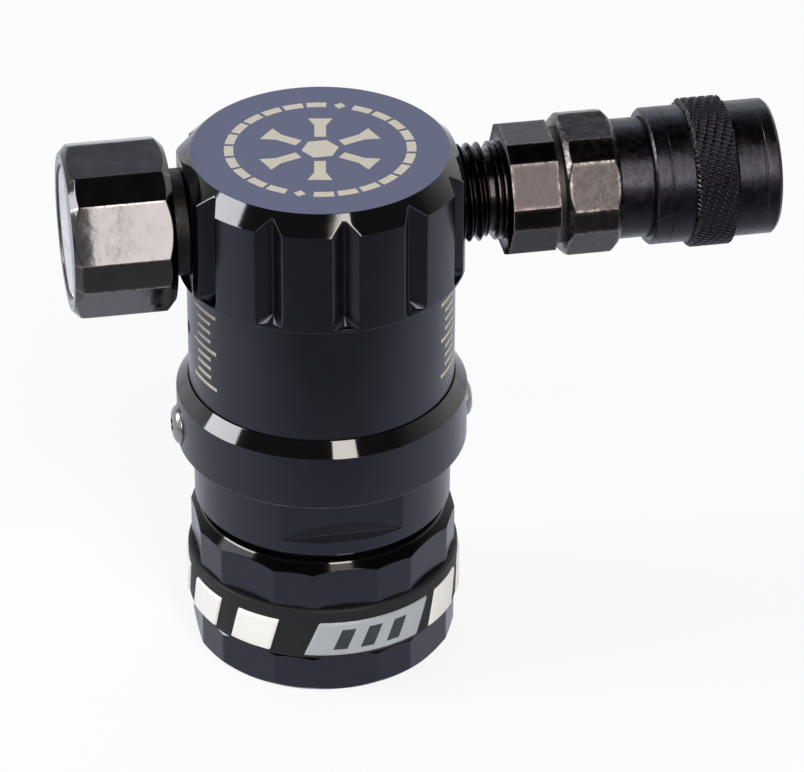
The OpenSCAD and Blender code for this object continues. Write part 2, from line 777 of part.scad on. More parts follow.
// The moulded grip band, with rounded edges.
module grip_band() {
    color("#161618")
        rotate_extrude()
            difference() {
                translate([groove_r + 0.02, band_z]) square([band_r - groove_r - 0.02, band_h]);
                for (s = [0, 1])
                    translate([band_r - band_round, band_z + band_round + s * (band_h - 2 * band_round)])
                        difference() {
                            translate([0, s == 0 ? -2 * band_round : 0])
                                square([2 * band_round, 2 * band_round]);
                            circle(r = band_round, $fn = 48);
                        }
            }
}

// A slanted block standing on the band: a thin ring cut by a leaning outline.
module band_block(angle, width, lean) {
    low = pad_low_z;
    high = pad_low_z + pad_h;
    intersection() {
        tube(band_r + pad_t, band_r, low, high);
        rotate([0, 0, angle])
            rotate([90, 0, 0])
                linear_extrude(height = big)
                    polygon([[-width / 2 - lean, low], [width / 2 - lean, low],
                        [width / 2 + lean, high], [-width / 2 + lean, high]]);
    }
}

// Slanted pads between the two plaques.
module band_pads() {
    color("#f2f2ee")
    for (side = [0, 1], i = [0:3])
        band_block(side * 180 + pad_turn + i * pad_step, pad_w, pad_lean);
}

module band_plaques() {
    color("#a9afb5")
    for (side = [0, 1])
        band_block(side * 180 + plaque_turn, plaque_w, plaque_lean);
}

// ---------------------------------------------------------------- gauge

// The stem's block carries the root of the C-shaped tube.
module gauge_stem() {
    stem_len = gauge_x + gauge_back_t - pipe_foot_x;
    shoulder_x = port_face_x + 0.3;
    color("#202024")
    difference() {
        union() {
            gauge_side(pipe_foot_x) pipe_thread(pipe_r, gauge_x - pipe_foot_x);
            gauge_side(shoulder_x) cylinder(r = gauge_shoulder_d / 2, h = gauge_x - shoulder_x);
            gauge_side(gauge_x - eps) cylinder(r = stem_boss_r, h = gauge_back_t + 1.2);
            gauge_side(gauge_x)
                rotate([0, 0, 90 + (360 - bourdon_arc) / 2])
                    translate([1.5, -2.05, gauge_back_t + 0.05])
                        cube([bourdon_r - 0.6, 2, bourdon_z + 1.3 - gauge_back_t]);
        }
        gauge_side(pipe_foot_x - 1) cylinder(r = 1.2, h = stem_len + 0.6);
    }
}

module gauge_case() {
    color("#4c4c54")
    gauge_side(gauge_x)
    difference() {
        rotate([0, 0, -gauge_turn])
            chamfered_hex(gauge_flats, gauge_corners, gauge_len, gauge_rim_r, gauge_rim_r);
        translate([0, 0, gauge_back_t]) cylinder(r = gauge_bore_d / 2 - 0.6, h = gauge_len);
        translate([0, 0, dial_z]) cylinder(r = gauge_bore_d / 2, h = gauge_len);
        translate([0, 0, -1]) cylinder(r = stem_boss_r + set_gap, h = gauge_len);
    }
}

module gauge_bezel() {
    color("#303036")
    gauge_side(gauge_x)
        tube(gauge_bore_d / 2 - 0.05, gauge_bore_d / 2 - 1, gauge_len - bezel_t, gauge_len);
}

module gauge_lens() {
    color("#dfe8ee", 0.4)
    gauge_side(gauge_x)
        tube(gauge_bore_d / 2 - set_gap, 0, lens_z, lens_z + lens_t);
}

// The dial has a rim that the lens rests on.
module gauge_dial() {
    color("#f4f4f0")
    gauge_side(gauge_x) {
        tube(gauge_bore_d / 2 - set_gap, arbor_r + 0.5, dial_z, dial_z + dial_t);
        tube(gauge_bore_d / 2 - set_gap, gauge_bore_d / 2 - 0.7, dial_z, lens_z);
    }
}

// Needle, arbor and pinion turn as one.
module gauge_needle() {
    reach = 0.35 * gauge_bore_d;
    color("#c03028")
    gauge_side(gauge_x) {
        rotate([0, 0, needle_rest])
            translate([0, 0, needle_z]) {
                linear_extrude(height = needle_t)
                    polygon([[-2.6, -0.45], [0, -0.5], [reach, -0.14], [reach, 0.14],
                        [0, 0.5], [-2.6, 0.45]]);
                cylinder(r = 1.2, h = needle_t + 0.25);
            }
        translate([0, 0, plate_z + 0.1]) cylinder(r = arbor_r, h = needle_z - plate_z);
        translate([0, 0, gear_z])
            linear_extrude(height = gear_t)
                polygon(gear_outline(pinion_r, pinion_teeth, 0, pinion_teeth - 1, 180));
    }
}

// A toothed sector on its own pivot below the arbor.
module sector_gear() {
    teeth = pinion_teeth * gear_ratio;
    color("#c8a850")
    gauge_side(gauge_x)
        translate([-gear_centres, 0, gear_z])
            difference() {
                union() {
                    linear_extrude(height = gear_t)
                        polygon(concat([[0, 0]],
                            gear_outline(sector_r, teeth, -6, 1, -180 / teeth)));
                    cylinder(r = 1.3, h = gear_t, $fn = 48);
                }
                translate([0, 0, -1]) cylinder(r = 0.65, h = 3, $fn = 48);
            }
}

// A C-shaped tube whose root is held in the gauge stem's block.
module bourdon_tube() {
    color("#b08d57")
    gauge_side(gauge_x)
        translate([0, 0, bourdon_z])
            rotate([0, 0, 90 + (360 - bourdon_arc) / 2])
                rotate_extrude(angle = bourdon_arc)
                    translate([bourdon_r, 0])
                        difference() {
                            square([bourdon_t, bourdon_w], center = true);
                            square([bourdon_t - 2 * bourdon_wall,
                                bourdon_w - 2 * bourdon_wall], center = true);
                        }
}

// The block that closes the tube's free end.
module bourdon_tip() {
    color("#b89c60")
    gauge_side(gauge_x)
        translate([0, 0, bourdon_z])
            rotate([0, 0, 90 - (360 - bourdon_arc) / 2 + 0.2])
                translate([bourdon_r, 1, 0])
                    difference() {
                        cube([1.6, 2, 2.6], center = true);
                        cylinder(r = 0.35, h = 5, center = true, $fn = 24);
                    }
}

module movement_plate() {
    color("#c4a660")
    gauge_side(gauge_x)
        translate([0, 0, plate_z])
            difference() {
                union() {
                    intersection() {
                        cylinder(r = bourdon_r + 1, h = plate_t);
                        translate([-1, 0, plate_t / 2])
                            cube([2 * bourdon_r + 6, 8.4, plate_t * 2], center = true);
                    }
                    translate([-gear_centres, 0, 0]) {
                        cylinder(r = 0.6, h = plate_t + 0.4 + gear_t + 0.3, $fn = 48);
                        cylinder(r = 1.1, h = plate_t + 0.36, $fn = 48);
                    }
                }
                translate([0, 0, -1]) cylinder(r = arbor_r + 0.05, h = 5, $fn = 48);
            }
}

module movement_posts() {
    color("#c4a660")
    gauge_side(gauge_x)
        for (s = [-1, 1])
            translate([s * post_reach, 0, gauge_back_t])
                cylinder(r = post_r, h = plate_z - gauge_back_t, $fn = 48);
}

// ---------------------------------------------------------------- coupler

module coupler_nipple() {
    collar_len = 1.8;
    relief_len = 0.8;
    thread_len = nipple_x - pipe_foot_x - collar_len - relief_len;
    color("#6a625e")
    difference() {
        union() {
            coupler_side(pipe_foot_x) pipe_thread(pipe_r, thread_len);
            coupler_side(pipe_foot_x + thread_len - eps)
                cylinder(r = pipe_r - 1.1, h = relief_len + 2 * eps);
            coupler_side(nipple_x - collar_len)
                turned([[0, 0], [pipe_r - 0.5, 0], [pipe_r, 0.3], [pipe_r, 0.6],
                    [pipe_r - 0.5, 0.9], [pipe_r, 1.2], [pipe_r, 1.5],
                    [pipe_r - 0.4, collar_len], [0, collar_len]]);
            coupler_side(nipple_x) hex_bar(nipple_flats, nipple_flats * 1.052, nipple_hex_len);
            coupler_side(nipple_x + nipple_hex_len - eps)
                cylinder(r = nipple_spigot_r, h = nipple_spigot_len);
        }
        coupler_side(pipe_foot_x - 1) cylinder(r = nipple_bore_r, h = big);
    }
}

module body_washer() {
    color("#202020")
    coupler_side(nipple_x + nipple_hex_len)
        tube(nipple_flats / 2 - 0.5, nipple_spigot_r + set_gap, 0, body_washer_t);
}

module coupler_body() {
    nose_r = nose_bore_d / 2;
    r = coupler_barrel_d / 2;
    color("#6b665f")
    difference() {
        union() {
            coupler_side(body_x)
                rotate([0, 0, coupler_turn])
                    chamfered_hex(coupler_flats, coupler_flats * 1.05, coupler_hex_len,
                        coupler_flats / 2 - 0.4, coupler_flats / 2 - 0.5);
            coupler_side(barrel_x - eps)
                turned([[0, 0], [r, 0], [r, slim_x - barrel_x], [slim_r, slim_x - barrel_x],
                    [slim_r, body_end_x - barrel_x - 0.4], [slim_r - 0.4, body_end_x - barrel_x],
                    [0, body_end_x - barrel_x]]);
        }
        coupler_side(body_x - 1) cylinder(r = nipple_spigot_r + set_gap, h = cage_x - body_x + 1);
        coupler_side(cage_x - eps) cylinder(r = cage_r, h = throat_x - cage_x + eps);
        coupler_side(throat_x - 1) cylinder(r = throat_r, h = throat_len + 2);
        coupler_side(throat_x + throat_len) cylinder(r = nose_r, h = big);
        coupler_side(mouth_x) cylinder(r = plug_bore_d / 2, h = big);
        coupler_side(plug_seal_x() - plug_seal_r - 0.05)
            cylinder(r = nose_r + 1.2, h = 2 * plug_seal_r + 0.1);
        coupler_side(0)
            tube(slim_r + 1, snap_seat_r, snap_x - 0.02, snap_x + snap_t + 0.02);
        coupler_side(ball_x)
            for (i = [0:ball_count - 1])
                rotate([0, 0, i * 360 / ball_count]) rotate([0, 90, 0])
                    cylinder(r = ball_d / 2 + 0.05, h = slim_r + 1, $fn = 48);
    }
}

// The plug seal lies just in front of the throat.
function plug_seal_x() = throat_x + throat_len + 1;

module plug_seal() {
    color("#202020")
    coupler_side(plug_seal_x())
        ring_seal(nose_bore_d / 2 + 0.45, plug_seal_r, 0);
}

module snap_ring() {
    color("#707074")
    coupler_side(0)
        difference() {
            tube(snap_r, snap_seat_r + 0.04, snap_x, snap_x + snap_t);
            translate([0, slim_r, snap_x]) cube([2.4, 4, 4], center = true);
        }
}

module locking_balls() {
    color("#c8c8cc")
    coupler_side(ball_x)
        for (i = [0:ball_count - 1])
            rotate([0, 0, i * 360 / ball_count])
                translate([ball_ring_r, 0, 0]) sphere(r = ball_d / 2, $fn = 48);
}

// The knurled band: a star outline with a chamfer at each end.
module knurl() {
    r = knurl_d / 2;
    deep = 0.35;
    intersection() {
        linear_extrude(height = knurl_len)
            polygon([for (i = [0:2 * knurl_teeth - 1])
                (r - (i % 2) * deep) * [cos(i * 180 / knurl_teeth), sin(i * 180 / knurl_teeth)]]);
        turned([[0, 0], [r - 0.7, 0], [r + 0.1, 0.8], [r + 0.1, knurl_len - 0.8],
            [r - 0.7, knurl_len], [0, knurl_len]]);
    }
}

module coupler_sleeve() {
    r = sleeve_d / 2;
    knurl_z = sleeve_len - sleeve_end_len - knurl_len;
    line_z = 2.7;
    color("#4a4648")
    coupler_side(sleeve_x)
    difference() {
        union() {
            turned([[0, 0], [r - 0.5, 0], [r, 0.5], [r, line_z], [r - 0.3, line_z + 0.1],
                [r - 0.3, line_z + 0.4], [r, line_z + 0.5], [r, knurl_z + eps],
                [r - 0.1, knurl_z + eps], [r - 0.1, sleeve_len - 0.5],
                [r - 0.6, sleeve_len], [0, sleeve_len]]);
            translate([0, 0, knurl_z]) knurl();
        }
        translate([0, 0, -1]) cylinder(r = rib_r, h = sleeve_len + 2);
        translate([0, 0, -1])
            cylinder(r = skirt_r, h = rib_end_x - rib_len - sleeve_x + 1);
        translate([0, 0, rib_end_x - sleeve_x])
            cylinder(r = release_r, h = sleeve_len);
    }
}

module sleeve_spring() {
    color("#9a9ca0")
    coupler_side(0)
        coil((slim_r + skirt_r) / 2, coil_wire_r, slim_x + 0.08, rib_end_x - rib_len - 0.08, 4);
}

module coupler_poppet() {
    face_x = poppet_x + poppet_head_t;
    nose_r = throat_r - 0.3;
    color("#b89c60")
    coupler_side(0)
    difference() {
        turned([[0, poppet_x - poppet_skirt_len], [poppet_skirt_r, poppet_x - poppet_skirt_len],
            [poppet_skirt_r, poppet_x], [cage_r - run_gap, poppet_x],
            [cage_r - run_gap, face_x], [nose_r, face_x], [nose_r, poppet_tip_x - 0.5],
            [nose_r - 0.5, poppet_tip_x], [0, poppet_tip_x]]);
        translate([0, 0, poppet_x - poppet_skirt_len - 1])
            cylinder(r = poppet_skirt_r - 1, h = poppet_skirt_len + poppet_head_t + 0.5);
        for (i = [0:3])
            rotate([0, 0, i * 90 + 45])
                translate([cage_r, 0, poppet_x - 1])
                    cylinder(r = 0.8, h = poppet_head_t + 2, $fn = 32);
    }
}

module poppet_seal() {
    color("#202020")
    coupler_side(0)
        tube(poppet_seal_r, throat_r - 0.25, poppet_x + poppet_head_t,
            poppet_x + poppet_head_t + poppet_seal_t);
}

module poppet_spring() {
    color("#9a9ca0")
    coupler_side(0)
        coil(poppet_coil_r, coil_wire_r, nipple_end_x + 0.08, poppet_x - 0.08, 5);
}

// ---------------------------------------------------------------- the assembly

head();
barrel();
lock_collar();
lock_screws();
neck();
hand_nut();
grip_band();
band_pads();
band_plaques();
inlet_stem();
thrust_washer();
inlet_filter();
filter_clip();
inlet_seal();
neck_seal();
nozzle();
valve_seat();
piston();
piston_seal();
stem_seal();
spring_washers();
spring_seat();
barrel_seal();
head_seal();
gauge_case();
gauge_stem();
gauge_bezel();
gauge_lens();
gauge_dial();
gauge_needle();
sector_gear();
bourdon_tube();
bourdon_tip();
movement_plate();
movement_posts();
coupler_nipple();
coupler_body();
body_washer();
coupler_sleeve();
sleeve_spring();
snap_ring();
locking_balls();
plug_seal();
coupler_poppet();
poppet_seal();
poppet_spring();
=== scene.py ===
"""High-pressure air regulator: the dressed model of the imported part.

Every shaped surface here is worked out as whole numpy arrays, in millimetres, and is put
into a mesh in metres with its object at the origin. The file follows the order in which
the regulator is put together, from the hand nut up.
"""
import math

import bpy
import numpy as np
from mathutils import Matrix, Vector


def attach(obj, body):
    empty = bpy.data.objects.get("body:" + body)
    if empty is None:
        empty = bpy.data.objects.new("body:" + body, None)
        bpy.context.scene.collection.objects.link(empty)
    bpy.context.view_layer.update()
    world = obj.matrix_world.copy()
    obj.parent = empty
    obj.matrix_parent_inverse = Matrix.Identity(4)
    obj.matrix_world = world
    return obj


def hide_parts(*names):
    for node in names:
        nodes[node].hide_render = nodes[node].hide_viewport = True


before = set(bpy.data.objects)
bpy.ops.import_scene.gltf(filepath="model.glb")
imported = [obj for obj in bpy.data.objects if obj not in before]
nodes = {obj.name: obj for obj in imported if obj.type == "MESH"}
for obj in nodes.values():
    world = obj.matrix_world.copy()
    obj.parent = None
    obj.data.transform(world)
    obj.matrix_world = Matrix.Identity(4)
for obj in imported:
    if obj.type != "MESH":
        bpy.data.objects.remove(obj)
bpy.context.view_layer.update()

# -------- camera
# The camera stands 0.65 m off, 11 degrees to the left and 32 degrees above the horizon,
# and looks through a long lens. Its focal length is given in pixels of the picture.
azimuth = math.radians(-10.871)
elevation = math.radians(32.276)
roll = math.radians(0.249)
camera_place = Vector((-0.09014, -0.52957, 0.37899))
focal_length, picture_width, film_width = 4487.6, 804, 36
right = Vector((math.cos(azimuth), math.sin(azimuth), 0))
back = Vector((math.sin(azimuth) * math.cos(elevation),
               -math.cos(azimuth) * math.cos(elevation), math.sin(elevation)))
up = back.cross(right)
side = right * math.cos(roll) + up * math.sin(roll)
over = up * math.cos(roll) - right * math.sin(roll)
camera_data = bpy.data.cameras.new("camera")
camera_data.sensor_fit = "HORIZONTAL"
camera_data.sensor_width = film_width
camera_data.lens = focal_length * film_width / picture_width
camera_data.clip_start = 0.05
camera_data.clip_end = 20
camera = bpy.data.objects.new("camera", camera_data)
camera.matrix_world = Matrix.Translation(camera_place) @ Matrix((side, over, back)).transposed().to_4x4()
bpy.context.scene.collection.objects.link(camera)
bpy.context.scene.camera = camera
bpy.context.scene.view_settings.view_transform = "Standard"


# -------- hand nut
# The eight-sided nut that screws the regulator onto the tank. It is turned and milled from
# aluminium bar, its edges are broken with a sharp tool, and then it is anodised black. It
# turns freely on the inlet stem.
def linear(code):
    """sRGB hex to linear colour: ((c + 0.055) / 1.055) to the power 2.4, above 0.04045."""
    c = np.array([int(code[i:i + 2], 16) for i in (1, 3, 5)]) / 255
    c = np.where(c <= 0.04045, c / 12.92, ((c + 0.055) / 1.055) ** 2.4)
    return (*c.tolist(), 1.0)


def blank(block):
    """The emptied node tree of a material or a world."""
    block.use_nodes = True
    block.node_tree.nodes.clear()
    return block.node_tree


# The Mix node's sockets that share a name with others: numbers in, colours in, colour out.
number_a, number_b, color_a, color_b, mixed_color = 2, 3, 6, 7, 2


def add(tree, kind, inputs=(), **settings):
    """Adds a shader node. Its inputs, by name or number, take another node's output or a
    value. Settings are its properties, or more inputs, with _ for a space."""
    made = tree.nodes.new("ShaderNode" + kind)
    for key, value in settings.items():
        if key[0].islower():
            setattr(made, key, value)
        else:
            made.inputs[key.replace("_", " ")].default_value = value
    for socket, source in dict(inputs).items():
        if isinstance(source, bpy.types.NodeSocket):
            tree.links.new(source, made.inputs[socket])
        else:
            made.inputs[socket].default_value = source
    return made


def finish(name, colors, rough, patch, grain, waves, lines=None, metallic=0.0, specular=0.5,
           tint="#FFFFFF", spread=0.04, worn_and_highlit=None):
    """A solid finish: two near colours in soft patches of the given size, roughness that
    follows the patches, and a relief that is the sum of grain, of long shallow waves and of
    turning lines along one axis, each given as its size and its depth. A third colour
    shows in soft spots 0.8 mm wide where the mesh's value for it is high: worn spots, and
    on some pieces a painted highlight."""
    made = bpy.data.materials.new(name)
    tree = blank(made)
    place = add(tree, "TexCoord").outputs["Object"]
    cloud = add(tree, "TexNoise", {"Vector": place}, Scale=1000 / patch, Detail=4.0, Roughness=0.55)
    color = add(tree, "Mix", {"Factor": cloud.outputs["Fac"], color_a: linear(colors[0]),
                              color_b: linear(colors[1])}, data_type="RGBA")
    if worn_and_highlit:
        spots = add(tree, "TexNoise", {"Vector": place}, Scale=1000 / 0.8, Detail=4.0)
        spots = add(tree, "MapRange", {"Value": spots.outputs["Fac"]}, From_Min=0.32, From_Max=0.72)
        wear = add(tree, "Attribute", attribute_name="wear").outputs["Fac"]
        much = add(tree, "Math", {0: wear, 1: spots.outputs[0]}, operation="MULTIPLY")
        color = add(tree, "Mix", {"Factor": much.outputs[0], color_a: color.outputs[mixed_color],
                                  color_b: linear(worn_and_highlit)}, data_type="RGBA")
    satin = add(tree, "MapRange", {"Value": cloud.outputs["Fac"]}, From_Min=0.3, From_Max=0.7,
                To_Min=max(rough - spread, 0.02), To_Max=rough + spread)
    reliefs = [(place, *grain), (place, *waves)]
    if lines:
        axis, size, deep = lines
        along = add(tree, "SeparateXYZ", {"Vector": place}).outputs[axis]
        reliefs.append((add(tree, "CombineXYZ", {axis: along}).outputs[0], size, deep))
    relief = 0.0
    for where, size, deep in reliefs:
        rise = add(tree, "TexNoise", {"Vector": where}, Scale=1000 / size, Detail=2.0)
        relief = add(tree, "Math", {0: rise.outputs["Fac"], 1: deep, 2: relief},
                     operation="MULTIPLY_ADD").outputs[0]
    bump = add(tree, "Bump", {"Height": relief}, Strength=1.0, Distance=0.001)
    shader = add(tree, "BsdfPrincipled", {"Base Color": color.outputs[mixed_color],
                                          "Roughness": satin.outputs[0], "Normal": bump.outputs["Normal"]},
                 Metallic=metallic, Specular_IOR_Level=specular, Specular_Tint=linear(tint))
    add(tree, "OutputMaterial", {"Surface": shader.outputs[0]})
    return made


# Black anodising over a turned wall: a deep black with a cold sheen, and fine rings from
# the tool, 0.2 mm apart.
anodised = finish("black_anodised", ("#0A0A0E", "#0E0E13"), 0.24, tint="#E2E0FF", patch=5.0,
                  grain=(0.3, 0.001), waves=(6.0, 0.004), lines=("Z", 0.2, 0.002), worn_and_highlit="#6C6C78")
# The edges are cut last, with a sharp polished tool, so under the same anodising they are
# mirror smooth.
polished_edge = finish("black_anodised_polished", ("#050507", "#08080A"), 0.06, specular=0.8, patch=4.0,
                       spread=0.02, grain=(0.4, 0.0004), waves=(5.0, 0.004))
# The nut's top cone gets a darker copy of the anodising with hardly any sheen: painted shade, which keeps it
# black where it would mirror the lamps.
painted_shade_black = finish("black_anodised_painted_shade", ("#040405", "#060607"), 0.1, specular=0.12, patch=4.0,
                    spread=0.02, grain=(0.4, 0.0004), waves=(5.0, 0.004))


def rounded(corners, steps=4):
    """A profile from corners, given as radius, height and, where the edge is broken, the
    radius of an arc. Its tangent points lie that radius over tan(half the angle) from the
    corner, along both sides, and at most 0.45 of a side away."""
    arcs = [c[2] if len(c) > 2 else 0 for c in corners]
    corners = np.array([c[:2] for c in corners], float)
    out = []
    for i, (corner, arc) in enumerate(zip(corners, arcs)):
        if arc == 0:
            out.append(corner[None])
            continue
        before, after = corners[i - 1] - corner, corners[(i + 1) % len(corners)] - corner
        long_before, long_after = np.hypot(*before), np.hypot(*after)
        before, after = before / long_before, after / long_after
        half = math.acos(np.clip(before @ after, -1, 1)) / 2
        reach = min(arc / math.tan(half), 0.45 * long_before, 0.45 * long_after)
        middle = (before + after) / np.hypot(*(before + after))
        centre = corner + middle * (reach * math.tan(half) / math.sin(half))
        start, end = corner + before * reach - centre, corner + after * reach - centre
        sweep = math.atan2(start[0] * end[1] - start[1] * end[0], start @ end)
        t = np.linspace(0, sweep, steps + 1)[:, None]
        out.append(centre + start * np.cos(t) + np.array([-start[1], start[0]]) * np.sin(t))
    return np.concatenate(out)


def dense(profile, step, low, high, closed=True, hold=0.06, beyond=-1.0):
    """Profile with extra points every step mm where its height is between low and high, on
    sides whose radii lie beyond the one given, and one close to both ends of every longer
    side, which keeps edges tight when shaded."""
    out = []
    n = len(profile)
    for i in range(n if closed else n - 1):
        start, end = profile[i], profile[(i + 1) % n]
        length = np.hypot(*(end - start))
        at = [0.0]
        if length > 4 * hold:
            at += [hold / length, 1 - hold / length]
            if min(start[0], end[0]) > beyond:
                extra = np.linspace(0, 1, int(length / step) + 2)[1:-1]
                height = start[1] + extra * (end[1] - start[1])
                at += list(extra[(height > low) & (height < high)])
        out.append(start + np.sort(np.array(at))[:, None] * (end - start))
    if not closed:
        out.append(profile[-1:])
    return np.concatenate(out)


def soft_min(a, b, k):
    """The smaller of a and b, with the edge between them rounded over a width of k: the
    smaller minus k h (1 - h), where h runs from 0 to 1 as b - a goes from -k to k."""
    h = np.clip(0.5 + 0.5 * (b - a) / k, 0, 1)
    return b + (a - b) * h - k * h * (1 - h)


def plane_cut(a, face_angle, distance):
    """Radius at which a flat face is met: its distance over the cosine of the angle off it,
    and a metre where that cosine is under 0.2."""
    c = np.cos(a - face_angle)
    return np.where(c > 0.2, distance / np.maximum(c, 0.2), 1e3)


def whole_turn(count):
    """Angles of one whole turn, evenly spaced."""
    return np.arange(count) * 2 * math.pi / count


def round_axis(r, a, z):
    """Points at radius r, angle a and height z: r cos a, r sin a, z."""
    r, a, z = np.broadcast_arrays(r, a, z)
    return np.stack([r * np.cos(a), r * np.sin(a), z], -1).reshape(-1, 3)


def grid(rows, columns, rows_closed=False, columns_closed=False):
    """Quads between rows and columns of points. A closed side joins its last to its first."""
    i = np.arange(rows if rows_closed else rows - 1)[:, None]
    j = np.arange(columns if columns_closed else columns - 1)[None]
    i2, j2 = (i + 1) % rows, (j + 1) % columns
    quads = [i * columns + j, i * columns + j2, i2 * columns + j2, i2 * columns + j]
    return np.stack(quads, -1).reshape(-1, 4)


# The order of a quad's corners that turns it to face the other way.
flipped = [0, 3, 2, 1]


def make(name, shape, materials, body, replaced=(), face_material=None, smooth=True, wear=None):
    """A mesh that rides on its body. Its shape is a pair of vertices in millimetres and
    faces, and the last argument is 0 to 1 at each vertex: worn spots, and on some pieces
    painted highlights."""
    verts, faces = shape
    mesh = bpy.data.meshes.new(name)
    mesh.from_pydata((np.asarray(verts) * 0.001).tolist(), [],
                     faces.tolist() if isinstance(faces, np.ndarray) else faces)
    mesh.polygons.foreach_set("use_smooth", np.full(len(mesh.polygons), smooth))
    for material in materials if isinstance(materials, list) else [materials]:
        mesh.materials.append(material)
    if face_material is not None:
        mesh.polygons.foreach_set("material_index", np.asarray(face_material, np.int32))
    if wear is not None:
        mesh.attributes.new("wear", "FLOAT", "POINT").data.foreach_set("value", np.clip(wear, 0, 1).ravel())
    mesh.update()
    made = bpy.data.objects.new(name, mesh)
    bpy.context.scene.collection.objects.link(made)
    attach(made, body)
    if replaced:
        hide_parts(*replaced)
    return made


def turned(name, profile, materials, body, replaced, angles, cut=None, outside=None,
           closed=True, place=None, pick=None, wear=None):
    """A profile of radius and height turned round the axis. Where outside(r, z) holds,
    cut(r, z, a) gives a new radius. pick(centre, normal) numbers the material of each face,
    and the last function, of r, z and a, says where the third colour of the finish shows:
    worn spots, and on some pieces painted highlights."""
    if np.isscalar(angles):
        angles = whole_turn(angles)
    r, z, a = np.broadcast_arrays(profile[:, :1], profile[:, 1:], angles)
    if cut is not None:
        r = np.where(outside(r, z), cut(r, z, a), r)
    verts = round_axis(r, a, z)
    if place is not None:
        verts = place(verts)
    faces = grid(len(profile), len(angles), closed, True)
    first, second, third, fourth = (verts[faces[:, k]] for k in range(4))
    volume = (np.einsum("ij,ij->", first, np.cross(second, third))
              + np.einsum("ij,ij->", first, np.cross(third, fourth)))
    if volume < 0:
        faces = faces[:, ::-1]
    tags = None
    if pick is not None:
        normal = np.cross(third - first, fourth - second) * (1 if volume > 0 else -1)
        normal /= np.maximum(np.linalg.norm(normal, axis=1, keepdims=True), 1e-12)
        tags = pick((first + second + third + fourth) / 4, normal).astype(int)
    worn_and_highlit = None if wear is None else wear(r, z, a)
    return make(name, (verts, faces), materials, body, replaced, tags, wear=worn_and_highlit)


# Sizes are radii and heights, and every cone here has a slope of 45 degrees.
nut_r, nut_top, journal_r = 20.17, 21.5, 8.05
relief_r, relief_top = 10.4, 14.6
wide_face, narrow_face = 18.45, 18.8
groove_r, groove_low, groove_high = 17.4, 6.0, 14.6
foot_r, rim_r = 18.25, 17.6
foot_cone_top = nut_r - foot_r
low_cone_foot = groove_low - (nut_r - wide_face)
top_cone_foot = nut_top - (nut_r - rim_r)
nut_profile = rounded([
    (relief_r, 0), (relief_r, relief_top), (journal_r, relief_top, 0.1), (journal_r, nut_top, 0.1),
    (rim_r, nut_top, 0.06), (nut_r, top_cone_foot), (nut_r, groove_high, 0.05), (groove_r, groove_high),
    (groove_r, groove_low), (wide_face, groove_low, 0.05), (nut_r, low_cone_foot), (nut_r, foot_cone_top),
    (foot_r, 0, 0.06)])
for low, high in ((top_cone_foot, nut_top), (low_cone_foot, groove_low), (0, foot_cone_top)):
    nut_profile = dense(nut_profile, 0.12, low, high, beyond=17)


def nut_faces(r, z, a):
    """Eight wide faces and eight narrow ones, each a plane at its distance from the axis."""
    for k in range(8):
        r = soft_min(r, plane_cut(a, k * math.pi / 4, wide_face), 0.05)
        r = soft_min(r, plane_cut(a, (k + 0.5) * math.pi / 4, narrow_face), 0.05)
    return r


def nut_finish(centre, normal):
    """Polished where the outside slopes, and on the top cone, below its rim, the darker copy that paints
    shade.
    """
    slopes = (np.abs(normal[:, 2]) > 0.3) & (np.hypot(centre[:, 0], centre[:, 1]) > 16)
    top_cone = (centre[:, 2] > top_cone_foot - 0.1) & (centre[:, 2] < nut_top - 0.2)
    return slopes * np.where(top_cone, 2, 1)


turned("nut_body", nut_profile, [anodised, polished_edge, painted_shade_black], "nut", ("hand_nut",),
       angles=544, cut=nut_faces, outside=lambda r, z: r > 18.0, pick=nut_finish)


# -------- tank thread
# The thread inside the nut, cut into the aluminium before it was anodised. Its groove runs
# up as a helix, 1.814 mm to a turn, which is 14 turns to the inch.
def helix(z, a, pitch):
    """A wave along a helix, 1 where z / pitch - a / (one turn) is whole and 0 halfway."""
    return np.abs((z[:, None] / pitch - a / (2 * math.pi)) % 1 * 2 - 1)


tank_pitch, tank_depth, tank_crest_r, tank_length, tank_fade = 1.814, 0.6, 9.72, 8.8, 0.7
z = np.linspace(0, tank_length, 81)
a = whole_turn(180)
fade = np.clip(np.minimum(z, tank_length - z) / tank_fade, 0, 1)[:, None]
crest = np.clip(helix(z, a, tank_pitch) * 1.3 - 0.15, 0, 1) * fade
verts = round_axis(tank_crest_r + tank_depth * (1 - crest), a, z[:, None])
faces = grid(len(z), len(a), columns_closed=True)[:, flipped]
make("nut_thread", (verts, faces), anodised, "nut")

# -------- grip band
# A moulded rubber band that is stretched into the nut's groove. Its mould is blasted, so
# the black is dull and has a fine grain.
grip_rubber = finish("grip_rubber", ("#101011", "#161617"), 0.55, specular=0.3, patch=2.0, spread=0.08,
                     grain=(0.2, 0.01), waves=(4.0, 0.02))
band_r, band_bore_r = 19.45, groove_r + 0.02
band_low, band_high = groove_low + 0.1, groove_high - 0.1
band_profile = rounded([(band_bore_r, band_low, 0.1), (band_r, band_low, 0.6), (band_r, band_high, 0.6),
                        (band_bore_r, band_high, 0.1)], steps=8)
turned("grip_ring", dense(band_profile, 0.6, groove_low, groove_high), grip_rubber, "nut",
       ("grip_band",), angles=240)

# -------- pads and plaques
# Raised blocks of soft plastic, moulded onto the band in a second shot: four slanted white
# pads and one long grey plaque on each half of the nut.
white_pad, grey_plaque, dark_inlay = (
    finish(name, colors, rough, patch=patch, grain=(0.3, 0.004), waves=(3.0, 0.01))
    for name, colors, rough, patch in (("moulded_white", ("#F0F0EC", "#E4E4E0"), 0.5, 3.0),
                                       ("moulded_grey", ("#A9AFB5", "#9EA4AB"), 0.42, 2.5),
                                       ("dark_inlay", ("#2A3038", "#20252C"), 0.5, 2.5)))
pad_low, pad_high, pad_base_r, pad_rise = 6.8, 12.4, band_r - 0.01, 0.3
first_pad, pad_step, plaque_middle, bar_step = 52.4, 29.1, 10.7, 11.5
halves = (0, 180)


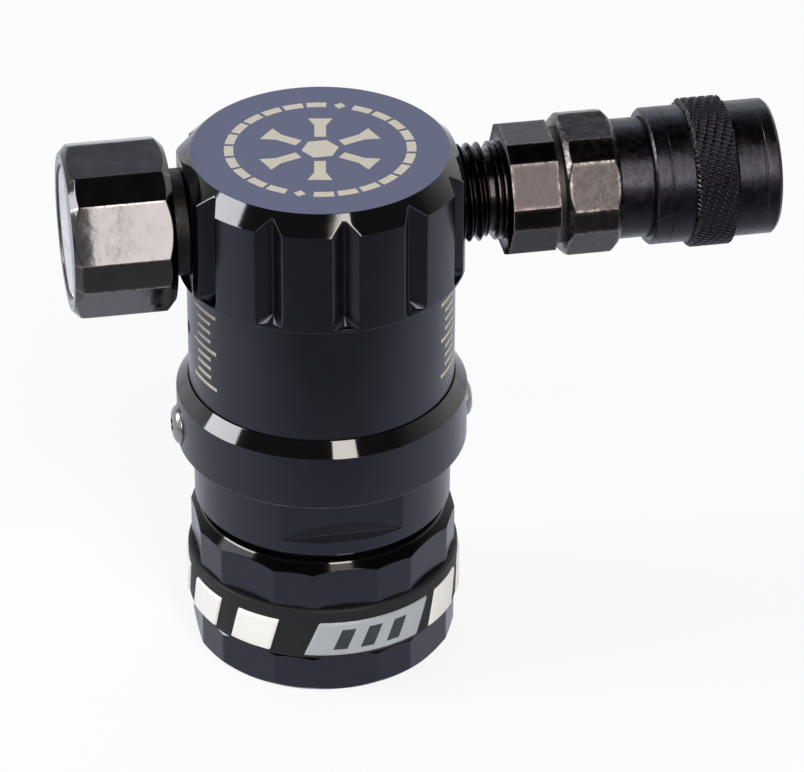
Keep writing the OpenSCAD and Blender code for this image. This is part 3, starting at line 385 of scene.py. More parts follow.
def joined(parts):
    """Several pairs of vertices and faces as one."""
    verts, faces, base = [], [], 0
    for v, f in parts:
        verts.append(v)
        faces += [[i + base for i in face] for face in f]
        base += len(v)
    return np.concatenate(verts), faces


def raised(middle, width, lean, low, high, rise=pad_rise, base=pad_base_r, columns=34, edge=0.28):
    """A slanted block on the band, at an angle in degrees. Within one edge width of its
    outline its height is the rise times the square root of 1 - (1 - e) squared, where e is
    the distance from the outline in edge widths. Points are closer near the outline."""
    rows = 16
    u, v = (0.65 * t + 0.35 * np.sin(t * math.pi / 2)
            for t in (np.linspace(-1, 1, columns)[:, None], np.linspace(-1, 1, rows)[None]))
    half_high = (high - low) / 2
    e = np.clip(np.minimum((1 - np.abs(u)) * width / 2, (1 - np.abs(v)) * half_high) / edge, 0, 1)
    along = u * width / 2 + lean * v
    return (round_axis(base + rise * np.sqrt(1 - (1 - e) ** 2), np.radians(middle - 90) + along / band_r,
                       (low + high) / 2 + v * half_high),
            grid(columns, rows)[:, flipped].tolist())


pads = [raised(half + first_pad + i * pad_step, 6.6, 0.73, pad_low, pad_high)
        for half in halves for i in range(4)]
plaques = [raised(half + plaque_middle, 17.2, 1.12, pad_low, pad_high, columns=60) for half in halves]
bars = [raised(half + plaque_middle + k * bar_step, 2.0, 0.66, pad_low + 1.15, pad_high - 1.15,
               rise=0.005, base=pad_base_r + pad_rise + 0.002, edge=0.05)
        for half in halves for k in (-1, 0, 1)]
make("pads", joined(pads), white_pad, "nut", ("band_pads",))
make("plaques", joined(plaques), grey_plaque, "nut", ("band_plaques",))
make("plaque_bars", joined(bars), dark_inlay, "nut")

# -------- inlet
# A turned stainless stem that the nut hangs on, with its nylon thrust washer, a sintered
# bronze filter under a steel clip, and black nitrile seal rings. They keep their CAD shape.
stainless = finish("turned_stainless", ("#8E8E8A", "#9C9C98"), 0.26, metallic=1.0, patch=3.0,
                   grain=(0.3, 0.002), waves=(4.0, 0.004))
nitrile = finish("nitrile_seal", ("#131313", "#191919"), 0.45, patch=2.0, grain=(0.2, 0.003),
                 waves=(3.0, 0.01))
nylon = finish("natural_nylon", ("#DAD3C0", "#D0C9B6"), 0.4, patch=3.0, grain=(0.3, 0.003),
               waves=(4.0, 0.01))
sintered = finish("sintered_bronze", ("#8C6A44", "#6E5030"), 0.7, metallic=0.8, patch=0.4, spread=0.1,
                  grain=(0.35, 0.12), waves=(3.0, 0.02))
spring_steel = finish("spring_steel", ("#74767A", "#85878B"), 0.3, metallic=1.0, patch=2.0,
                      grain=(0.25, 0.002), waves=(3.0, 0.004))


def dress(material, *names):
    """Gives CAD nodes a material in place of their own."""
    for name in names:
        nodes[name].data.materials.clear()
        nodes[name].data.materials.append(material)


dress(stainless, "inlet_stem", "filter_clip")
dress(nitrile, "inlet_seal", "neck_seal")
dress(nylon, "thrust_washer")
dress(sintered, "inlet_filter")

# -------- neck
# The valve body under the collar, turned from aluminium with a wrench flat milled front and
# back, and anodised black. Its spigot is screwed into the barrel.
neck_r, neck_foot_r, neck_foot, neck_bevel_top, neck_top = 18.3, 17.2, 21.8, 23.3, 32.35
spigot_r, spigot_top, stem_bore_r = 15.5, 45.65, 7.0
nozzle_r, nozzle_foot, gallery_r, throat_r, throat_foot, throat_top = 3.55, 39.52, 4.0, 2.2, 27.8, 29.3
flat_distance, neck_ledge = 16.15, [25.24, 25.245, 25.255, 25.26]
neck_profile = dense(rounded([
    (stem_bore_r, neck_foot, 0.1), (neck_foot_r, neck_foot, 0.1), (neck_r, neck_bevel_top, 0.12),
    *[(neck_r, height) for height in (neck_ledge[0] - 0.02, *neck_ledge, neck_ledge[-1] + 0.02)],
    (neck_r, neck_top, 0.05), (spigot_r, neck_top), (spigot_r, spigot_top, 0.2), (nozzle_r, spigot_top, 0.1),
    (nozzle_r, nozzle_foot), (gallery_r, nozzle_foot), (gallery_r, throat_top), (throat_r, throat_top),
    (throat_r, throat_foot), (stem_bore_r, throat_foot)]), 1.0, neck_foot - 0.5, neck_top + 0.5)


def ledge(z, rows):
    """From 0 below a ledge to 1 above it, in three steps between four close rows of points.
    The small first and last steps keep both edges of the ledge sharp when it is shaded."""
    return np.interp(z, rows, [0, 0.03, 0.97, 1])


def wrench_flats(r, z, a):
    """A flat in front and one at the back, above the ledge."""
    for face in (-math.pi / 2, math.pi / 2):
        flat = plane_cut(a, face, flat_distance)
        r = np.where(flat < r, r + (flat - r) * ledge(z, neck_ledge), r)
    return r


turned("neck_body", neck_profile, [anodised, polished_edge], "main", ("neck",), angles=480,
       cut=wrench_flats, outside=lambda r, z: (r > 16.5) & (z > neck_foot + 0.5),
       pick=lambda centre, normal: ((centre[:, 2] < neck_bevel_top + 0.05) & (np.abs(normal[:, 2]) > 0.3)
                                    & (np.hypot(centre[:, 0], centre[:, 1]) > 17)))

# -------- lock collar
# A loose ring with a sloping top that covers the joint of neck and barrel. It is turned and
# black anodised, its slope is polished, and it is spot-faced where its two screws sit.
collar_r, collar_bore_r, collar_web_r, web_top = 20.58, 18.85, 15.6, neck_top + 1
slope_foot, slope_r, slope_top = 40.69, 18.95, 42.65
screw_z, spot_distance, spot_r = 35.71, 20.32, 3.0
collar_profile = dense(rounded([
    (collar_web_r, neck_top, 0.05), (collar_r - 0.3, neck_top, 0.06), (collar_r, neck_top + 0.3, 0.06),
    (collar_r, slope_foot, 0.06), (slope_r, slope_top, 0.03), (collar_bore_r, slope_top),
    (collar_bore_r, web_top), (collar_web_r, web_top)]), 0.14, 32.5, 39.2, beyond=20)


def off_angle(a, middle):
    """The angle from a middle one, between minus and plus half a turn."""
    return np.angle(np.exp(1j * (a - middle)))


def fine_sides(half, fine, coarse):
    """Angles of a whole turn, with a fine row of them within half degrees of the X axis, on
    both sides, and a coarse row between."""
    near, far = np.linspace(-half, half, fine), np.linspace(half + 0.5, 179.5 - half, coarse)
    return np.radians(np.concatenate([near, far, near + 180, far + 180]))


def spot_faces(r, z, a):
    """A flat spot round each screw, square to the X axis."""
    for face in (0, math.pi):
        d = off_angle(a, face)
        off = np.hypot(20.5 * d, z - screw_z)
        r = np.where(off < spot_r, np.minimum(r, spot_distance / np.maximum(np.cos(d), 0.2)), r)
    return r


# A thin pale lavender line runs round the lower rim, in the anodising's third colour.
turned("collar_ring", collar_profile, [anodised, polished_edge], "main", ("lock_collar",),
       angles=fine_sides(10, 81, 159), cut=spot_faces, outside=lambda r, z: (r > 20.2) & (z > 32.7),
       pick=lambda centre, normal: ((centre[:, 2] > slope_foot - 0.09) & (normal[:, 2] > 0.2)
                                    & (normal[:, 2] < 0.95)),
       wear=lambda r, z, a: (r > 20) * np.exp(-((z - neck_top - 0.2) / 0.14) ** 2))

# -------- lock screws
# Two stainless button-head screws with a hexagon socket, one on each side, which clamp the
# collar to the barrel.
shank_r, shank_end, screw_head_r, screw_seat = 1.45, 15.9, 2.85, 20.33
socket_r, socket_floor, screw_end = 1.08, 20.6, 21.52
screw_profile = rounded([
    (0, shank_end), (shank_r, shank_end, 0.05), (shank_r, screw_seat), (screw_head_r, screw_seat, 0.05),
    (screw_head_r, 20.6, 0.2), (2.5, 21.1, 0.5), (1.8, 21.42, 0.5), (socket_r + 0.02, screw_end, 0.04),
    (socket_r, screw_end), (socket_r - 0.08, socket_floor), (0, socket_floor)])


def hexagon_socket(r, z, a):
    """The socket's radius over the cosine of the angle off each of its six faces."""
    return r / np.cos((a + math.pi / 6) % (math.pi / 3) - math.pi / 6)


for sign, name in ((1, "screw_right"), (-1, "screw_left")):
    turned(name, screw_profile, stainless, "main", ("lock_screws",), angles=72, closed=False,
           cut=hexagon_socket, outside=lambda r, z: (r < socket_r + 0.01) & (z > socket_floor - 0.1),
           place=lambda v, s=sign: np.stack([s * v[:, 2], v[:, 1] * s, screw_z + v[:, 0]], -1))

# -------- barrel
# The spring housing, turned from aluminium tube and black anodised, with a vent hole
# drilled on each side. Plain scale marks are burnt through the black by a laser.
barrel_r, barrel_top, thread_r, barrel_bore_r = 18.75, 60.35, 16.0, 14.2
thread_foot, bore_foot, vent_z, vent_r, vent_depth = 56.25, 45.7, 51.65, 0.95, 2.3
barrel_profile = dense(rounded([
    (collar_web_r, web_top, 0.1), (barrel_r, web_top, 0.3), (barrel_r, barrel_top, 0.1),
    (thread_r, barrel_top, 0.1), (thread_r, thread_foot), (barrel_bore_r, thread_foot),
    (barrel_bore_r, bore_foot), (collar_web_r, bore_foot)]), 0.12, vent_z - 1.25, vent_z + 1.25, beyond=10)


def vents(r, z, a):
    """Towards a vent's axis the wall drops by eight times the distance from its rim, down
    to the vent's depth."""
    for face in (0, math.pi):
        off = np.hypot(barrel_r * off_angle(a, face), z - vent_z)
        drop = np.clip((vent_r - off) * 8, 0, vent_depth)
        r = np.where(off < vent_r, np.minimum(r, barrel_r - drop), r)
    return r


turned("barrel_shell", barrel_profile, anodised, "main", ("barrel",),
       angles=fine_sides(4, 41, 170), cut=vents, outside=lambda r, z: (r > 18.6) & (z > 45))

# Where the laser has burnt the black away, the bare oxide is a dull warm white.
laser_mark = finish("laser_mark", ("#C6C1B1", "#BAB4A3"), 0.55, patch=0.8, grain=(0.15, 0.002),
                    waves=(3.0, 0.004))


def wrapped(patches, inner, outer):
    """Marks laid round a cylinder as thin slabs, each given by the angles of its ends and
    by its low and high height. A slab has four rows of nine points: its low and its high
    edge at both radii."""
    i = np.arange(8)
    sides = [(18 + i, 19 + i, 28 + i, 27 + i), (i, 9 + i, 10 + i, 1 + i),
             (i, i + 1, 19 + i, 18 + i), (9 + i, 27 + i, 28 + i, 10 + i)]
    faces = np.concatenate([np.stack(quad, -1) for quad in sides]).tolist()
    faces += [[0, 18, 27, 9], [8, 17, 35, 26]]
    out = []
    for start, end, low, high in patches:
        a = np.radians(np.linspace(start, end, 9) - 90)
        rows = [round_axis(r, a, z) for r in (inner, outer) for z in (low, high)]
        out.append((np.concatenate(rows), faces))
    return joined(out)


ticks = []
tick_low, tick_step, tick_high = 46.25, 1.45, 0.55
for middle in (-70, 62, 116, -118):
    for k in range(9):
        wide = 9.5 if k % 4 == 0 else 5.5
        low = tick_low + k * tick_step
        ticks.append((middle - wide, middle + wide, low, low + tick_high))
make("barrel_marks", wrapped(ticks, barrel_r - 0.15, barrel_r + 0.012), laser_mark, "main")

# -------- valve and springs
# Inside the barrel a stainless piston with a nylon seat rises and falls over a brass
# nozzle, against a stack of disc springs. They keep their CAD shape.
brass = finish("machined_brass", ("#A98747", "#B99856"), 0.26, metallic=1.0, patch=3.0,
               grain=(0.3, 0.002), waves=(4.0, 0.004))
dress(stainless, "piston")
dress(nylon, "valve_seat")
dress(brass, "nozzle")
dress(spring_steel, "spring_washers", "spring_seat")
dress(nitrile, "stem_seal", "piston_seal", "barrel_seal", "head_seal")

# -------- head
# The outlet head, turned from aluminium bar with ten flutes and a flat milled at each port,
# black anodised, and screwed onto the barrel. Its top face is bead blasted first, so it is
# a satin slate colour, and the wide edge round it is polished.
satin_top = finish("blasted_anodised", ("#545A72", "#5B6079"), 0.48, specular=0.2, tint="#DADCFF", patch=9.0,
                   grain=(0.25, 0.004), waves=(12.0, 0.01))
head_r, head_top, face_r, head_foot_bevel = 20.3, 78.15, 17.85, 0.55
cone_foot = head_top - (head_r - face_r)
chamber_r, chamber_top, neck_ring_r, chamber_foot = 10, 73.55, 12.5, 61.95
head_spigot_r, head_spigot_foot = 15.9, 56.35
flute_depth_r, flute_slope, flute_foot, head_ledge = 18.65, 0.857, 62.455, [61.27, 61.28, 61.32, 61.33]
coupler_z, gauge_z, port_flat, port_r, port_floor = 69.17, 68.70, 19.0, 7.0, 15.5
head_profile = rounded([
    (0, chamber_top), (chamber_r, chamber_top), (chamber_r, chamber_foot), (neck_ring_r, chamber_foot),
    (neck_ring_r, head_spigot_foot, 0.2), (head_spigot_r, head_spigot_foot, 0.2), (head_spigot_r, barrel_top),
    (head_r - head_foot_bevel, barrel_top, 0.06), (head_r, barrel_top + head_foot_bevel, 0.08),
    *[(head_r, height) for height in head_ledge], (head_r, cone_foot, 0.06), (face_r, head_top, 0.05),
    (0, head_top)])
for step, low, high in ((0.15, 75.5, 78.3), (0.15, 60.7, 63.2), (0.6, 63.2, 75.6)):
    head_profile = dense(head_profile, step, low, high, closed=False, beyond=17)
flute_angles = [math.radians(-90 + 30 * k) for k in range(12) if k not in (3, 9)]
# Each flute and port has 37 rows of points across its middle, and each land has 13.
flute_rows = np.concatenate([np.linspace(-7.2, 7.2, 37), np.linspace(7.8, 22.2, 13)])
head_angles = np.radians(np.sort(np.add.outer(30 * np.arange(12), flute_rows).ravel() % 360))


def flutes_and_ports(r, z, a):
    """V flutes, whose floor rises by the slope times the distance from their middle line
    and ends below in a cone and a flat ledge, and a flat with a port hole on both sides."""
    for flute in flute_angles:
        d = off_angle(a, flute)
        away = np.hypot(r * np.sin(d), np.minimum(z - flute_foot, 0))
        floor = (flute_depth_r + flute_slope * np.maximum(away - 0.1, 0)) / np.maximum(np.cos(d), 0.5)
        r = r + (soft_min(r, floor, 0.12) - r) * ledge(z, head_ledge) * (np.abs(d) < 0.3)
    for face, port in ((0, coupler_z), (math.pi, gauge_z)):
        r = soft_min(r, plane_cut(a, face, port_flat), 0.12)
        d = off_angle(a, face)
        off = np.hypot(port_flat * np.tan(np.clip(d, -1, 1)), z - port)
        hole = np.maximum(port_flat - 0.3 - (port_r - off) * 6, port_floor)
        r = np.where((off < port_r) & (np.abs(d) < 1), np.minimum(r, hole), r)
    return r


def head_finish(centre, normal):
    """Satin on the top face, and polished on the slopes at the top and at the foot."""
    top = (centre[:, 2] > head_top - 0.05) & (normal[:, 2] > 0.97)
    upper = (normal[:, 2] > 0.3) & (centre[:, 2] > cone_foot - 0.3)
    lower = (normal[:, 2] < -0.3) & (np.hypot(centre[:, 0], centre[:, 1]) > 18.5)
    return np.where(top, 1, np.where(upper | lower, 2, 0))


turned("head_shell", head_profile, [anodised, satin_top, polished_edge], "main", ("head",),
       angles=head_angles, cut=flutes_and_ports, outside=lambda r, z: (r > 17.2) & (z > 60.6), closed=False,
       pick=head_finish)


# -------- top marks
# A ring of dashes with two diamonds, and a wheel of six arms inside it, burnt into the top
# face by the same laser.
def plate(outline, low, high):
    """A thin flat plate from its outline."""
    outline = np.asarray(outline, float)
    n = len(outline)
    v = np.concatenate([np.column_stack([outline, np.full(n, z)]) for z in (low, high)])
    i = np.arange(n)
    walls = np.stack([i, (i + 1) % n, (i + 1) % n + n, i + n], -1).tolist()
    return v, [list(range(n, 2 * n)), list(range(n))[::-1]] + walls


def turn(points, degrees):
    """Points turned about the origin in their plane."""
    c, s = math.cos(math.radians(degrees)), math.sin(math.radians(degrees))
    return np.asarray(points, float) @ np.array([[c, s], [-s, c]])


mark_low, mark_high, dash_in, dash_out, ring_r = head_top + 0.005, head_top + 0.015, 11.9, 13.2, 12.55
arc = np.radians(np.linspace(1.2, 13.8, 10))
dash = [(r * math.cos(t), r * math.sin(t)) for r, row in ((dash_out, arc), (dash_in, arc[::-1])) for t in row]
diamond = [(ring_r - 0.85, 0), (ring_r, -0.85), (ring_r + 0.85, 0), (ring_r, 0.85)]
arm = [(3.4, -0.8), (6.6, -0.8), (8.6, -1.7), (8.6, 1.7), (6.6, 0.8), (3.4, 0.8)]
outlines = [turn(dash, 15 * k) for k in range(24) if k % 12 != 4]
outlines += [turn(diamond, degrees) for degrees in (67.5, 247.5)]
outlines += [turn(arm, 60 * k + 20) for k in range(6)]
outlines.append([turn([(2.6, 0)], 60 * k)[0] for k in range(6)])
marks = [plate(outline, mark_low, mark_high) for outline in outlines]
make("head_marks", joined(marks), laser_mark, "main", smooth=False)

# -------- gauge case
# A twelve-sided steel case on a threaded stem, plated in black nickel over a lightly
# hammered surface: dark, glossy, and a little uneven in what it mirrors.
black_nickel = finish("black_nickel", ("#464547", "#504E4F"), 0.12, metallic=1.0, patch=3.0, spread=0.05,
                      grain=(0.5, 0.003), waves=(2.2, 0.03), worn_and_highlit="#9C948C")


def to_gauge(v):
    """The local axis runs to -X from the main axis, and local x runs up."""
    return np.stack([-v[:, 2], v[:, 1], gauge_z + v[:, 0]], -1)


def many_sided(flats, corners, start, crown=None):
    """A bar with six wide and six narrow faces: the soft minimum of its twelve planes. Past
    the crown height the faces fall off by 0.016 of the distance squared."""
    def cut(r, z, a):
        fall = 0.0 if crown is None else 0.016 * np.maximum(z - crown, 0) ** 2
        for i in range(6):
            r = soft_min(r, plane_cut(a, start + i * math.pi / 3, flats / 2 - fall), 0.06)
            r = soft_min(r, plane_cut(a, start + (i + 0.5) * math.pi / 3, corners / 2 - fall), 0.06)
        return r
    return cut


def rubbed_edges(flats, corners, start, width, ends=(-1e9, 1e9)):
    """Worn spots on the long edges of a many-sided bar and at the heights of its ends, which
    also stand for the glints those edges catch, a painted highlight: e to the power of minus
    the square of the distance from them over the width."""
    edge = math.atan((corners / flats - math.cos(math.pi / 6)) / math.sin(math.pi / 6))

    def wear(r, z, a):
        u = (a - start + math.pi / 6) % (math.pi / 3) - math.pi / 6
        off = np.minimum.reduce([np.abs(np.abs(u) - edge) * r, np.abs(z - ends[0]), np.abs(z - ends[1])])
        return np.exp(-(off / width) ** 2) * (r > flats / 2 - 0.6)
    return wear


case_start, case_long, case_bar = 21.4, 14.1, (22.8, 23.8, math.radians(-5))
case_r, case_rim_r, case_bore_r, cavity_r, stem_hole_r = 12.9, 10.9, 10.3, 9.7, 3.3
case_back, lens_seat = 2.2, 10.0
case_cone = case_r - case_rim_r
case_profile = dense(rounded([
    (stem_hole_r, 0), (case_rim_r, 0, 0.06), (case_r, case_cone), (case_r, case_long - case_cone),
    (case_rim_r, case_long, 0.06), (case_bore_r, case_long, 0.05), (case_bore_r, lens_seat),
    (cavity_r, lens_seat), (cavity_r, case_back), (stem_hole_r, case_back)]),
    0.12, -0.1, case_long + 0.1, beyond=10) + [0, case_start]
turned("gauge_shell", case_profile, black_nickel, "main", ("gauge_case",), angles=440,
       cut=many_sided(*case_bar, crown=case_start + 11.2), outside=lambda r, z: r > 10.7,
       place=to_gauge, wear=rubbed_edges(*case_bar, 0.12))
# The stem is the same steel; its near-black, dull finish is painted shade for the gap between the gauge and
# the head.
stem_painted_shade = finish("stem_painted_shade", ("#060607", "#0B0B0C"), 0.5, specular=0.25, patch=1.0, spread=0.1,
                      grain=(0.3, 0.01), waves=(2.0, 0.02))
dress(stem_painted_shade, "gauge_stem")

# -------- gauge front
# A spun bezel ring holds a clear moulded lens over a white printed dial, with a painted
# needle between them.
bezel_r, bezel_bore_r, bezel_back = 10.25, 9.3, 12.9
bezel_profile = rounded([
    (bezel_bore_r, bezel_back), (bezel_r, bezel_back), (bezel_r, case_long, 0.12),
    (bezel_bore_r + 0.3, case_long, 0.12), (bezel_bore_r, case_long - 0.3, 0.1)]) + [0, case_start]
turned("bezel_ring", bezel_profile, black_nickel, "main", ("gauge_bezel",), angles=160,
       place=to_gauge)
dial_white = finish("printed_dial", ("#F0F0EC", "#E9E9E5"), 0.35, patch=6.0, grain=(0.3, 0.001),
                    waves=(5.0, 0.002))
needle_red = finish("painted_needle", ("#B42A1E", "#A8261C"), 0.35, patch=2.0, grain=(0.3, 0.001),
                    waves=(3.0, 0.002))
dress(dial_white, "gauge_dial")
dress(needle_red, "gauge_needle")

# The lens is clear acrylic, its crown stands up through the bezel almost to its rim, and
# its moulded faces are smooth enough to mirror the room.
clear_lens = bpy.data.materials.new("clear_acrylic")
tree = blank(clear_lens)
place = add(tree, "TexCoord").outputs["Object"]
haze = add(tree, "TexNoise", {"Vector": place}, Scale=1000 / 4.0, Detail=3.0)
polish = add(tree, "MapRange", {"Value": haze.outputs["Fac"]}, From_Min=0.3, From_Max=0.7,
             To_Min=0.01, To_Max=0.04)
shader = add(tree, "BsdfPrincipled", {"Roughness": polish.outputs[0]}, Base_Color=linear("#FBFCFD"),
             IOR=1.49, Transmission_Weight=1.0)
add(tree, "OutputMaterial", {"Surface": shader.outputs[0]})
lens_r, crown_r, lens_back, flange_front, crown_front = 10.2, 9.2, 11.6, 12.8, 14.08
lens_profile = rounded([
    (0, lens_back), (lens_r, lens_back, 0.1), (lens_r, flange_front, 0.1), (crown_r, flange_front, 0.05),
    (crown_r, 13.75, 0.2), (8.6, 13.95, 0.6), (0, crown_front)]) + [0, case_start]
turned("lens_crown", lens_profile, clear_lens, "main", ("gauge_lens",), angles=160,
       closed=False, place=to_gauge)

# Dial print: ticks round the rim and the plain numbers 0 to 6.
print_low, print_high, first_mark, tick_end, number_r = 31.905, 31.92, 135, 9.1, 6.0
parts = []
for k in range(31):
    start, half = (7.3, 0.16) if k % 5 == 0 else (8.1, 0.08)
    tick = [(start, -half), (tick_end, -half), (tick_end, half), (start, half)]
    parts.append(plate(turn(tick, first_mark - k * 9), print_low, print_high))
verts, faces = joined(parts)
make("dial_ticks", (to_gauge(verts), faces), dark_inlay, "main", smooth=False)
for k in range(7):
    t = math.radians(first_mark - k * 45)
    curve = bpy.data.curves.new(f"number_{k}", "FONT")
    curve.body = str(k)
    curve.size = 1.9
    curve.align_x, curve.align_y = "CENTER", "CENTER"
    curve.resolution_u = 3
    drawn = bpy.data.objects.new(f"number_{k}", curve)
    bpy.context.scene.collection.objects.link(drawn)
    flat = bpy.data.meshes.new_from_object(drawn)
    bpy.data.objects.remove(drawn)
    verts = np.array([p.co for p in flat.vertices], float)
    faces = [list(p.vertices) for p in flat.polygons]
    verts = np.stack([np.full(len(verts), -print_high), math.sin(t) * number_r - verts[:, 0],
                      gauge_z + math.cos(t) * number_r + verts[:, 1]], -1)
    make(f"dial_number_{k}", (verts, faces), dark_inlay, "main", smooth=False)

# -------- gauge movement
# Behind the dial, a brass Bourdon tube uncurls and turns a toothed sector, which turns the
# needle's pinion. They keep their CAD shape.
dress(brass, "bourdon_tube", "bourdon_tip", "movement_plate", "movement_posts", "sector_gear")

# -------- coupler nipple
# The steel nipple that is screwed into the head's port: a pipe thread, a grooved collar and
# a hexagon. It is plated in a dull bronze that is worn thin on the faces.
bronze_plate = finish("bronze_plate", ("#1C1B1E", "#373231"), 0.18, metallic=1.0, patch=2.5, spread=0.08,
                      grain=(0.35, 0.006), waves=(2.0, 0.03), worn_and_highlit="#5C5454")


def to_coupler(v):
    """The local axis runs to +X from the main axis, and local x runs down."""
    return np.stack([v[:, 2], v[:, 1], coupler_z - v[:, 0]], -1)


# The pipe thread: the crest radius less the depth times a wave along a helix, with its
# crests cut flat. It runs out over 0.6 mm at its start and 0.3 mm at its end.
pipe_pitch, pipe_crest_r, pipe_depth, pipe_start, pipe_end = 1.41, 6.9, 0.75, 12.0, 22.8
x = np.linspace(pipe_start, pipe_end, 109)
a = whole_turn(120)
r = pipe_crest_r - pipe_depth * np.clip(helix(x, a, pipe_pitch) * 1.25 - 0.12, 0, 1)
ends = np.clip(np.minimum((x - pipe_start) / 0.6, (pipe_end - x) / 0.3), 0, 1)[:, None]
r = np.minimum(r, pipe_crest_r - pipe_depth * (1 - ends))
verts = round_axis(r, a, x[:, None])
faces = grid(len(x), len(a), columns_closed=True).tolist()
faces += [list(range(len(a)))[::-1], list(range(len(verts) - len(a), len(verts)))]
make("nipple_thread", (to_coupler(verts), faces), bronze_plate, "main")

nipple_start, ribs_start, nipple_hex_start, nipple_hex_end, nipple_end = 12.2, 23.6, 25.4, 32.1, 38.2
bore_r, core_r, root_r, rib_r, nipple_r, nipple_spigot_r = 2.6, 5.8, 6.4, 6.9, 9.5, 6.6
nipple_bar, ribs = (17.3, 18.2, 0.0), (root_r, rib_r, rib_r, root_r, rib_r, rib_r)
nipple_profile = dense(rounded([
    (bore_r, nipple_start), (core_r, nipple_start), (core_r, ribs_start),
    *[(r, ribs_start + 0.3 * k, 0.05) for k, r in enumerate(ribs)],
    (root_r + 0.1, nipple_hex_start), (nipple_r, nipple_hex_start), (nipple_r, nipple_hex_end),
    (nipple_spigot_r, nipple_hex_end), (nipple_spigot_r, nipple_end, 0.1), (bore_r, nipple_end)]),
    0.12, nipple_hex_start - 0.1, nipple_hex_end + 0.1, beyond=7.5)
turned("nipple_body", nipple_profile, bronze_plate, "main", ("coupler_nipple",), angles=480,
       cut=many_sided(*nipple_bar), place=to_coupler,
       outside=lambda r, z: (r > 8.0) & (z > nipple_hex_start - 0.05) & (z < nipple_hex_end + 0.05),
       wear=rubbed_edges(*nipple_bar, 0.3, (nipple_hex_start, nipple_hex_end)))
# The washer between the two hexagons gets the black seal finish, which paints the shade in the gap between
# them.
dress(nitrile, "body_washer")

# -------- coupler body
# The coupler's steel body: a chamfered hexagon, and the round barrel that the sleeve slides
# on. Its thin nickel has gone grey and patchy with handling.
worn_nickel = finish("worn_nickel", ("#1A1A1C", "#403B3A"), 0.24, metallic=1.0, patch=1.0, spread=0.1,
                     grain=(0.3, 0.01), waves=(1.8, 0.05), worn_and_highlit="#76706A")
# Its third colour is the painted highlight on the sleeve's rims and on the near end of its knurl.
black_oxide = finish("black_oxide", ("#1E1D22", "#35333A"), 0.3, metallic=1.0, patch=1.0, spread=0.1,
                     grain=(0.3, 0.008), waves=(1.8, 0.05), lines=("X", 0.2, 0.002), worn_and_highlit="#77736F")
body_start, body_hex_end, body_mouth, body_bar = 33.1, 40.8, 62.6, (18.8, 19.74, math.radians(5))
body_r, slide_r, slide_end, nose_r, snap_r, snap_start, snap_end = 10.6, 8.4, 49.0, 7.5, 7.0, 60.08, 60.92
plug_r, plug_end, plug_nose_r, nose_end, seat_r, seat_end = 6.05, 59.9, 5.4, 54.0, 3.6, 52.5
poppet_r, well_r, well_end = 5.2, nipple_spigot_r + 0.1, 38.7
body_profile = dense(rounded([
    (well_r, body_start, 0.05), (body_r - 1.4, body_start, 0.06), (body_r, body_start + 1.4),
    (body_r, body_hex_end - 1.5), (body_r - 1.5, body_hex_end, 0.06), (slide_r, body_hex_end, 0.05),
    (slide_r, slide_end, 0.1), (nose_r, slide_end), (nose_r, snap_start), (snap_r, snap_start),
    (snap_r, snap_end), (nose_r, snap_end), (nose_r, body_mouth - 0.4, 0.1), (nose_r - 0.4, body_mouth, 0.1),
    (plug_r, body_mouth, 0.15), (plug_r, plug_end), (plug_nose_r, plug_end, 0.1), (plug_nose_r, nose_end),
    (seat_r, nose_end), (seat_r, seat_end), (poppet_r, seat_end), (poppet_r, well_end),
    (well_r, well_end)]), 0.12, body_start - 0.1, body_hex_end + 0.1, beyond=8.5)
turned("coupler_hex", body_profile, [worn_nickel, black_oxide], "main", ("coupler_body",),
       angles=480, cut=many_sided(*body_bar), outside=lambda r, z: (r > 8.8) & (z < 41), place=to_coupler,
       pick=lambda centre, normal: centre[:, 0] > body_hex_end + 0.05,
       wear=rubbed_edges(*body_bar, 0.3, (body_start + 0.3, body_hex_end - 0.3)))

# -------- coupler sleeve
# The steel sleeve that is drawn back to let the plug go, turned with a diamond-knurled band
# and blackened in hot oxide, which leaves a soft black with a faint mottle.
sleeve_start, sleeve_mouth, sleeve_r, front_r, sleeve_bore_r = 45.5, 63.5, 9.6, 9.5, 8.45
knurl_start, knurl_end, knurl_r, knurl_depth = 51.1, 57.3, 10.45, 0.3
mouth_r, land_r, land_start, land_end = 8.7, 7.55, 57.0, 60.0
sleeve_profile = dense(rounded([
    (sleeve_bore_r, sleeve_start), (9.25, sleeve_start, 0.12), (sleeve_r, sleeve_start + 0.35, 0.12),
    (sleeve_r, 47.7, 0.03), (9.48, 47.75), (9.48, 47.95), (sleeve_r, 48.0, 0.03), (sleeve_r, knurl_start),
    (9.85, knurl_start, 0.05), (knurl_r, knurl_start + 0.4, 0.1), (knurl_r, knurl_end - 0.4, 0.1),
    (9.85, knurl_end, 0.05), (front_r, knurl_end), (front_r, 61.05, 0.03), (9.4, 61.15), (9.4, 61.35),
    (front_r, 61.45, 0.03), (front_r, sleeve_mouth - 0.5, 0.15), (9.0, sleeve_mouth, 0.15),
    (mouth_r, sleeve_mouth, 0.05), (mouth_r, land_end), (land_r, land_end), (land_r, land_start),
    (sleeve_bore_r, land_start)]), 0.1, knurl_start + 0.05, knurl_end - 0.05, hold=0.04, beyond=9)


def knurl(r, z, a):
    """Long flat-topped strokes 0.73 mm apart, which run down to the right, cut across by
    steep grooves every 1.25 mm."""
    u = np.abs((18 * a / math.pi + 2 * z / 1.25) % 2 - 1)
    v = np.abs((90 * a / math.pi - 2 * z / 1.8) % 2 - 1)
    return r - knurl_depth * (1 - np.clip(np.minimum(3.0 * (1 - u), 1.7 * (1 - v)), 0, 1))


def sleeve_wear(r, z, a):
    """Painted highlights on two rims and on the near end of the knurl, each given by its
    height, its strength and its width."""
    bright = ((sleeve_start + 0.25, 0.6, 0.1), (61.42, 0.3, 0.08), (knurl_start + 0.3, 0.5, 0.15))
    return sum(much * np.exp(-((z - height) / width) ** 2) for height, much, width in bright) * (r > 9.3)


